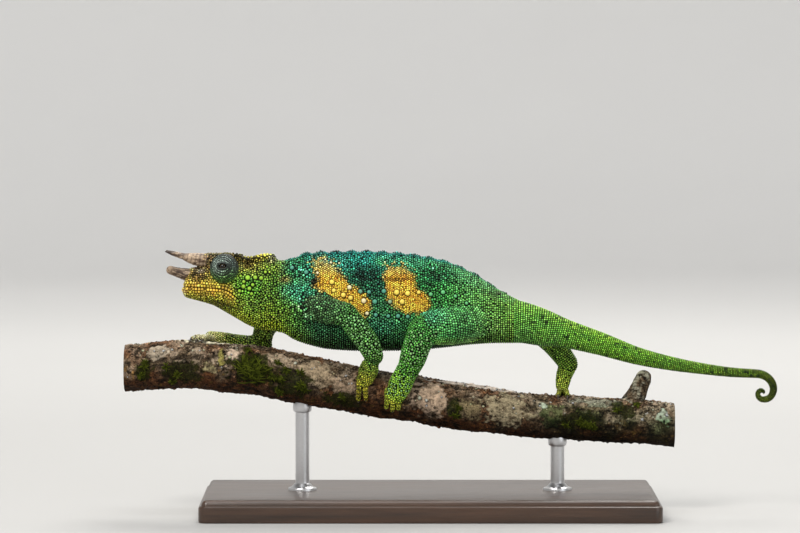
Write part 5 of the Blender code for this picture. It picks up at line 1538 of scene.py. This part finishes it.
# Each point of the bark is axis + out * (radius + swell + relief), where the swell has three and five
# lobes that wind along the branch, and out is (0, sin, cos) of the turn.
x = np.linspace(BRANCH[0][0], BRANCH[-1][0], BRANCH_ALONG)
height, radius = row_at(BRANCH, x).T
turn = full_turn(BRANCH_AROUND)
swell = 0.25 * np.sin(3 * turn[None] + 0.11 * x[:, None]) + 0.2 * np.sin(5 * turn[None] - 0.23 * x[:, None])
out = np.stack([np.zeros_like(turn), np.sin(turn), np.cos(turn)], axis=-1)
axis = np.column_stack([x, np.zeros_like(x), height])
rings = axis[:, None] + (radius[:, None] + swell - 0.25)[..., None] * out[None]
flat_points = rings.reshape(-1, 3)
grid_x = np.repeat(x, BRANCH_AROUND)
degrees = np.degrees(-np.tile(turn, len(x)))
arc = 0.15  # millimetres of girth in a degree, near enough for a radius of 8.6


def noise(size, seed):
    """Smooth noise on the points of the bark."""
    return cloud(flat_points, size, seed)


def on_bark(table, seed):
    """For each patch, its share at each point of the bark: all of it well inside the patch, whose
    size is roughened at its edge, and none outside."""
    edge = 0.40 * noise(2.2, seed) + 0.32 * noise(0.9, seed + 1)
    shares = []
    for row in table:
        away = (degrees - row[1] + 180.0) % 360.0 - 180.0
        reach = np.hypot((grid_x - row[0]) / row[2], away * arc / row[3]) + edge
        shares.append(held((1.0 - reach) * 4.5))
    return shares


cracks = held(ridged(flat_points * (0.5, 1.0, 1.0), 2.9, 51)) ** 7
cracks = cracks * held(0.6 + 1.5 * noise(7.0, 52))
rough = 0.55 * noise(1.9, 53) + 0.5 * noise(1.0, 54) + 0.35 * noise(0.6, 55)
lichen_shares = on_bark(LICHENS, 61)
lichen_share = np.max(lichen_shares, axis=0)
moss_share = np.max(on_bark(MOSSES, 71), axis=0)
pits = held(-2.2 * noise(1.3, 59) - 0.7) * (1.0 - 0.7 * lichen_share)
relief = 0.42 * rough - 0.5 * cracks * (1.0 - 0.8 * lichen_share) - 0.35 * pits + 0.15 * lichen_share
relief = np.clip(relief - 0.3 * moss_share, -1.0, 0.42)
rings = rings + relief.reshape(len(x), -1)[..., None] * out[None]

under = held(-np.cos(np.tile(turn, len(x))) + 0.15)
tint = laid(BARK_BROWN, BARK_PALE, held(0.35 + 0.8 * noise(3.4, 57) + 0.9 * rough - 0.7 * under))
tint = laid(tint, BARK_RED, np.clip(0.2 + 0.8 * noise(5.0, 58) + 0.9 * under, 0.0, 0.9))
tint = laid(tint, (0.20, 0.105, 0.025), np.clip(3.0 * noise(1.4, 63) - 1.4, 0.0, 0.8) * (under > 0.0))
for share, row in zip(lichen_shares, LICHENS):
    tint = laid(tint, BARK_DARK, 0.8 * held(4.0 * share) * (share < 0.6))
    tint = laid(tint, row[4], 0.92 * held(2.0 * share - 0.5))
worn = np.clip(1.7 * noise(1.2, 65) + 0.9 * noise(0.6, 66) - 0.35, 0.0, 0.75)
tint = laid(tint, BARK_BROWN, worn * (lichen_share > 0.0))
tint = laid(tint, MOSS_DARK, 0.9 * moss_share)
# Painted shade in the cracks and pits of the bark, less where it is raised and on lichen.
deep = np.clip(1.5 * cracks + 1.2 * pits - 1.0 * rough, 0.0, 0.9)
tint = laid(tint, BARK_DARK, deep * (1.0 - 0.6 * lichen_share))
# The rear part of the branch is darker and greener away from its top.
from_top = np.abs((degrees + 180.0) % 360.0 - 180.0)
dark_green_off_top = held((grid_x - 32.0) / 12.0) * held((from_top - 30.0) / 40.0)
dark_green_off_top *= held(0.85 + 0.8 * noise(4.0, 64))
tint = laid(tint, tint * (0.30, 0.42, 0.27), dark_green_off_top)
# Painted shade: the underside of the branch is darkened, most towards its rear.
tint = tint * (1.0 - np.interp(grid_x, [20.0, 40.0], [0.64, 0.76]) * under**0.7)[:, None]
tint = tint * np.exp(0.35 * noise(0.8, 60))[:, None]

# The sawn ends: a flat of pale wood that goes in from the bark, with rings of growth.
WOOD, PITH = (0.34, 0.23, 0.13), (0.22, 0.14, 0.08)
CUT_RINGS = np.array([0.97, 0.86, 0.72, 0.56, 0.40, 0.24, 0.10])
cuts = [axis[k] + (rings[k] - axis[k]) * CUT_RINGS[:, None, None] for k in (0, -1)]
growth = 0.85 + 0.3 * (CUT_RINGS * 50.0 % 2 < 1)
cut_tint = np.repeat(growth[:, None] * WOOD, BRANCH_AROUND, axis=0)
cut_tint_back = np.repeat(growth[::-1, None] * WOOD, BRANCH_AROUND, axis=0)
branch_points, branch_faces = closed(np.concatenate([cuts[0][::-1], rings, cuts[1]]))
tints = np.vstack([cut_tint_back, tint, cut_tint, [PITH] * 2])
stub_rings = tube_rings(STUB, STUB_RADII, (1.0, 0.0, 0.0), 72, 0.3, grow=-0.15)
middle = stub_rings.mean(axis=1, keepdims=True)
spots = stub_rings.reshape(-1, 3)
bulge = 0.5 * cloud(spots, 1.5, 81) + 0.3 * ridged(spots, 0.8, 82)
stub_rings = stub_rings + unit(stub_rings - middle) * (0.35 * bulge.reshape(stub_rings.shape[:2]))[..., None]
stub_points, stub_faces = closed(stub_rings)
grey = held(0.4 + 1.3 * cloud(stub_points, 1.6, 83))
stub_tint = laid(BARK_BROWN, (0.36, 0.35, 0.26), grey)
stub_tint = laid(stub_tint, BARK_DARK, held(1.3 * ridged(stub_points, 1.1, 84)) ** 3)

bark_finish, wire = finish("bark", Roughness=0.9, Specular_IOR_Level=0.15)
fine = speckle(wire, 1500.0, 5.0, 0.75)
coarse = speckle(wire, 520.0, 4.0, 0.7)
own = wire.node("ShaderNodeAttribute", {"attribute_name": "tint"})
light = wire.node("ShaderNodeSeparateColor", {}, {0: own}, 1)
contrast = (1.15 - light * 2.6).clipped(0.3, 1.0)  # crusts of lichen and sawn wood are smoother
shade = (((fine - 0.5) * 7.0 + (coarse - 0.5) * 3.0) * contrast + 1.0).clipped(0.10, 2.6)
feed(bark_finish, Base_Color=own.shaded(shade), Roughness=fine * 0.2 + 0.78,
     Normal=bumped(fine * 0.5 + coarse * 0.5, 1.0, 0.0012))
points, faces = joined([(branch_points, branch_faces), (stub_points, stub_faces)])
fitted(piece("perch_bark", points, faces, np.vstack([tints, stub_tint])), bark_finish, "bark", "perch")

# Crumbs of bark and crusts of lichen stand off it as irregular low domes, most of them above.
CRUMBS = 3600
weight = (0.35 + held(np.cos(np.tile(turn, len(x))) + 0.5)) * (1.0 - 0.8 * moss_share)
weight *= (1.0 - 0.75 * lichen_share) * ((grid_x > x[0] + 1.0) & (grid_x < x[-1] - 1.0))
chosen = RANDOM.choice(len(flat_points), CRUMBS, p=weight / weight.sum(), replace=False)
bark_points, out_at = rings.reshape(-1, 3), np.tile(out, (len(x), 1))
outward = unit(out_at[chosen] + RANDOM.normal(0.0, 0.22, (CRUMBS, 3)))
lie = laid_flat(unit(RANDOM.normal(0.0, 0.6, (CRUMBS, 3)) + (1.0, 0.0, 0.0)), outward)
pitch = np.clip(RANDOM.lognormal(-0.25, 0.4, CRUMBS), 0.35, 1.8)
high = pitch * RANDOM.uniform(0.10, 0.34, CRUMBS)
reach = 0.5 * pitch[:, None] * RANDOM.uniform(0.6, 1.2, (CRUMBS, DOME_SIDES))
tone = np.minimum(tint[chosen] * RANDOM.lognormal(0.25, 0.6, (CRUMBS, 1)), 0.34)
flat = np.column_stack([grid_x[chosen] - BRANCH[0][0], (degrees[chosen] + 360.0) * arc])
bed = (bark_points[chosen], outward, lie, high, tone, np.zeros(CRUMBS, int), flat)
coat("perch_crumbs", "bark", bark_finish, bed, np.ones(CRUMBS, bool), reach, 0.4)

# Moss: a dense pile of short leaves, and fronds that fan out from tufts and lie along the bark.
PILE, TUFTS, FRONDS, FAN = 8000, 60, 22, 170
weight = (moss_share**2 + 0.004) * (relief < 0.25)
chosen = RANDOM.choice(len(flat_points), PILE, p=weight / weight.sum())
root = bark_points[chosen]
lean = unit(out_at[chosen] + 0.8 * RANDOM.normal(0.0, 1.0, (PILE, 3)))
long, thick = RANDOM.uniform(0.2, 0.5, (PILE, 1)), RANDOM.uniform(0.10, 0.18, (PILE, 1))
side = unit(np.cross(lean, RANDOM.normal(0.0, 1.0, (PILE, 3))))


def corners(spine, thick, side, third):
    """Three corners round each place of a spine, in the plane of two directions."""
    return [spine + thick * (math.cos(a) * side + math.sin(a) * third)
            for a in (0.0, 2.0 * np.pi / 3.0, 4.0 * np.pi / 3.0)]


foot = corners(root - 0.12 * lean, thick, side, np.cross(lean, side))
points = np.stack([*foot, root + long * lean], axis=1).reshape(-1, 3)
leaves = repeated(np.array([(0, 1, 3), (1, 2, 3), (2, 0, 3), (2, 1, 0)]), PILE, 4)
green = laid(MOSS_DARK, MOSS_PALE, 0.35 * RANDOM.random(PILE))
green[RANDOM.random(PILE) < 0.2] = (0.085, 0.055, 0.018)
green = (green[:, None] * np.array([0.4, 0.4, 0.4, 1.7])[None, :, None]).reshape(-1, 3)

# A frond runs from its tuft over the bark in five steps, arched off it, and tapers to a point.
weight = moss_share**3
tufts = np.repeat(RANDOM.choice(len(flat_points), TUFTS, p=weight / weight.sum(), replace=False), FRONDS)
from_x = np.concatenate([grid_x[tufts] + RANDOM.normal(0.0, 0.25, TUFTS * FRONDS),
                         RANDOM.normal(MOSSES[0][0], 2.0, FAN)])
from_angle = np.concatenate([degrees[tufts], RANDOM.normal(MOSSES[0][1] + 6.0, 12.0, FAN)])
long = np.concatenate([RANDOM.uniform(0.8, 2.2, TUFTS * FRONDS), RANDOM.uniform(1.8, 5.5, FAN)])
way = RANDOM.uniform(-np.pi, np.pi, len(long))
way[TUFTS * FRONDS:] = RANDOM.normal(0.2, 1.0, FAN)  # the great fan points upwards
step = np.linspace(0.0, 1.0, 6)
spine_x = from_x[:, None] + (long * np.sin(way))[:, None] * step
spine_angle = from_angle[:, None] - (long * np.cos(way))[:, None] * step / arc
lift = 0.15 + (0.12 + 0.09 * long)[:, None] * np.sin(np.pi * step**0.8)
spine = branch_spot(spine_x.ravel(), spine_angle.ravel(), lift.ravel()).reshape(-1, 6, 3)
along = unit(np.gradient(spine, axis=1))
off_bark = spine - np.stack([spine[..., 0], np.zeros_like(spine[..., 0]),
                             np.interp(spine[..., 0], x, height)], axis=-1)
side = unit(np.cross(along, off_bark))
thick = 0.25 * np.array([0.5, 1.0, 1.0, 0.8, 0.5, 0.06])[None, :, None]
rim = np.stack(corners(spine, thick, side, np.cross(along, side)), axis=2)
caps = np.array([(2, 1, 0), (15, 16, 17)])
frond_faces = [repeated(group, len(long), 3 * len(step)) for group in (caps, tube_faces(len(step), 3))]
tone = laid(MOSS_DARK, MOSS_PALE, RANDOM.random(len(long)) ** 1.3)
tone = tone[:, None] * np.array([0.3, 0.5, 0.8, 1.1, 1.4, 1.6])[None, :, None]
points, faces = joined([(points, [leaves]), (rim.reshape(-1, 3), frond_faces)])
green = np.vstack([green, np.repeat(tone, 3, axis=1).reshape(-1, 3)])
fitted(piece("perch_moss", points, faces, green),
       tinted("moss", 2000.0, 0.9, 0.4, 0.2, Specular_IOR_Level=0.05), "bark")


# -------------------- stand
# A plain display stand: a flat base of dark satin wood with a moulded edge, and two steel rods that
# are let into the base and the branch, each with a small turned collar at its foot and top.

BASE_HALF = (82.0, 39.0)
BASE_HIGH = 8.0
BASE_EDGE = [(0.7, 0), (0.15, 0.15), (0, 0.7), (0, 5.1), (0.15, 5.6), (0.55, 5.85), (0.95, 6),
             (1.05, 6.35), (1.2, 6.9), (1.6, 7.5), (2.2, 7.88), (3, 8), (12, 8), (38, 8)]
CORNER = 3.0
BASE_SIDES, ROD_SIDES = 160, 48
SHARP = math.radians(35.0)  # an edge is sharper than this

# Each ring of the base is a rounded rectangle: sign(c) * (half - corner) + corner * c along x, where
# c is the cosine of the turn, and the same along y with its sine.
turn = full_turn(BASE_SIDES)
rings = []
for inset, z in BASE_EDGE:
    corner = max(CORNER - inset, 0.4)
    x, y = (np.sign(way) * max(half - inset - corner, 0.0) + corner * way
            for half, way in zip(BASE_HALF, (np.cos(turn), np.sin(turn))))
    rings.append(np.column_stack([x, y, np.full(len(turn), z)]))
base = piece("stand_base_wood", *closed(np.array(rings)))
base.data.set_sharp_from_angle(angle=SHARP)
base_finish, wire = finish("dark satin wood", Roughness=0.32, Coat_Weight=0.25, Coat_Roughness=0.2)
grain_noise = speckle(wire, 60.0, 5.0, 0.6, (0.25, 5.0, 5.0))
pores = speckle(wire, 420.0, 3.0, 0.7, (0.10, 3.0, 3.0))
stops = [(0.30, (0.018, 0.009, 0.005)), (0.72, (0.075, 0.034, 0.016))]
figure = wire.node("ShaderNodeValToRGB", {"stops": stops}, {0: grain_noise * 0.75 + pores * 0.25})
feed(base_finish, Base_Color=figure, Roughness=pores * 0.2 + 0.24, Normal=bumped(pores, 0.25, 0.0002))
fitted(base, base_finish, "base_wood", "stand_base")

steel_finish, wire = finish("brushed steel", Metallic=1.0, Roughness=0.3)
brush = speckle(wire, 900.0, 3.0, 0.7, (1.0, 1.0, 14.0))
feed(steel_finish, Base_Color=brush.mix((0.42, 0.42, 0.43, 1.0), (0.66, 0.66, 0.67, 1.0)),
     Roughness=brush * 0.22 + 0.2, Normal=bumped(brush, 0.15, 0.0001))
ROD_RADIUS = 2.5
COLLAR = [(5.2, 0.0), (5.2, 0.5), (5.0, 0.85), (4.2, 1.1), (3.5, 1.5), (3.1, 2.2), (2.55, 2.5)]
CAP = [(2.55, -2.4), (3.2, -2.1), (3.4, -1.2), (3.4, 1.2), (3.2, 1.6), (ROD_RADIUS, 1.7), (ROD_RADIUS, 4.0)]


def turned(profile, sides, x=0.0):
    """Level rings round an upright axis, for a profile of (radius, height)."""
    radius, z, turn = profile[:, :1], profile[:, 1:], full_turn(sides)
    return np.stack([x + radius * np.cos(turn), radius * np.sin(turn),
                     np.broadcast_to(z, (len(profile), sides))], axis=-1)


for name, rod_x in (("stand_rod_front", -46.0), ("stand_rod_rear", 46.0)):
    height, radius = row_at(BRANCH, [rod_x])[0]
    under = height - radius
    low = [(ROD_RADIUS, BASE_HIGH - 4.0), (ROD_RADIUS, BASE_HIGH - 0.2)]
    foot = [(r, BASE_HIGH + z) for r, z in COLLAR]
    shaft = [(ROD_RADIUS, BASE_HIGH + 3.0 + (under - BASE_HIGH - 6.0) * k / 24.0) for k in range(25)]
    profile = np.array(low + foot + shaft + [(r, under + z) for r, z in CAP])
    rod = piece(name + "_turned", *closed(turned(profile, ROD_SIDES, rod_x)))
    rod.data.set_sharp_from_angle(angle=SHARP)
    fitted(rod, steel_finish, "rod_steel", name)


# -------------------- floor and light
# A pale floor that rises into a round backdrop, a soft lamp above the animal's head and left side, a
# weaker one from the side of its tail, one from behind that lights the edges of its back, and a broad
# one overhead.

FLOOR_SIDES = 96
bend = np.linspace(0.0, 0.5 * np.pi, 24)
profile = np.vstack([[(0.5, 0.0), (400.0, 0.0), (800.0, 0.0), (1200.0, 0.0)],
                     np.column_stack([1650.0 + 800.0 * np.sin(bend), 800.0 * (1.0 - np.cos(bend))]),
                     [(2450.0, 1500.0), (2450.0, 3200.0)]])
points, faces = closed(turned(profile, FLOOR_SIDES))
# Painted to even out the light: the floor is darker in the middle, where the lamps fall brightest, and paler
# out on the backdrop.
grey = np.interp(np.repeat(profile[:, 0], FLOOR_SIDES), [300.0, 2000.0], [0.40, 0.80])
grey = np.concatenate([grey, grey[:1]])[:, None] * (1.0, 0.99, 0.975)
room = piece("floor", points[:-1], [faces[0][:, ::-1], faces[1][:FLOOR_SIDES, ::-1]], grey)
room.data.materials.append(tinted("pale floor", 3.0, 0.6, 0.06, 0.0))

LIGHTS = [  # name, place, size, watts, colour
    ("key", (-0.55, -0.95, 1.15), 0.6, 17, (1, 0.97, 0.92)),
    ("fill", (1, -1, 0.5), 1, 3.4, (0.93, 0.97, 1)),
    ("rim", (0.15, 0.75, 1), 0.6, 10, (1, 0.98, 0.93)),
    ("over", (0, 0, 2.4), 1.8, 28, (1, 1, 1)),
]
for name, where, size, watts, colour in LIGHTS:
    lamp = bpy.data.lights.new(name, "AREA")
    lamp.shape = "DISK"
    lamp.size = size
    lamp.energy = watts
    lamp.color = colour
    light = bpy.data.objects.new(name, lamp)
    light.location = where
    light.rotation_euler = (Vector((0.0, 0.0, 0.07)) - Vector(where)).to_track_quat("-Z", "Y").to_euler()
    bpy.context.scene.collection.objects.link(light)
world = bpy.data.worlds.new("studio")
world.use_nodes = True
sky = world.node_tree.nodes["Background"].inputs
sky["Color"].default_value = (0.9, 0.95, 1.0, 1.0)
sky["Strength"].default_value = 0.3
bpy.context.scene.world = world
bpy.context.scene.view_settings.view_transform = "Standard"
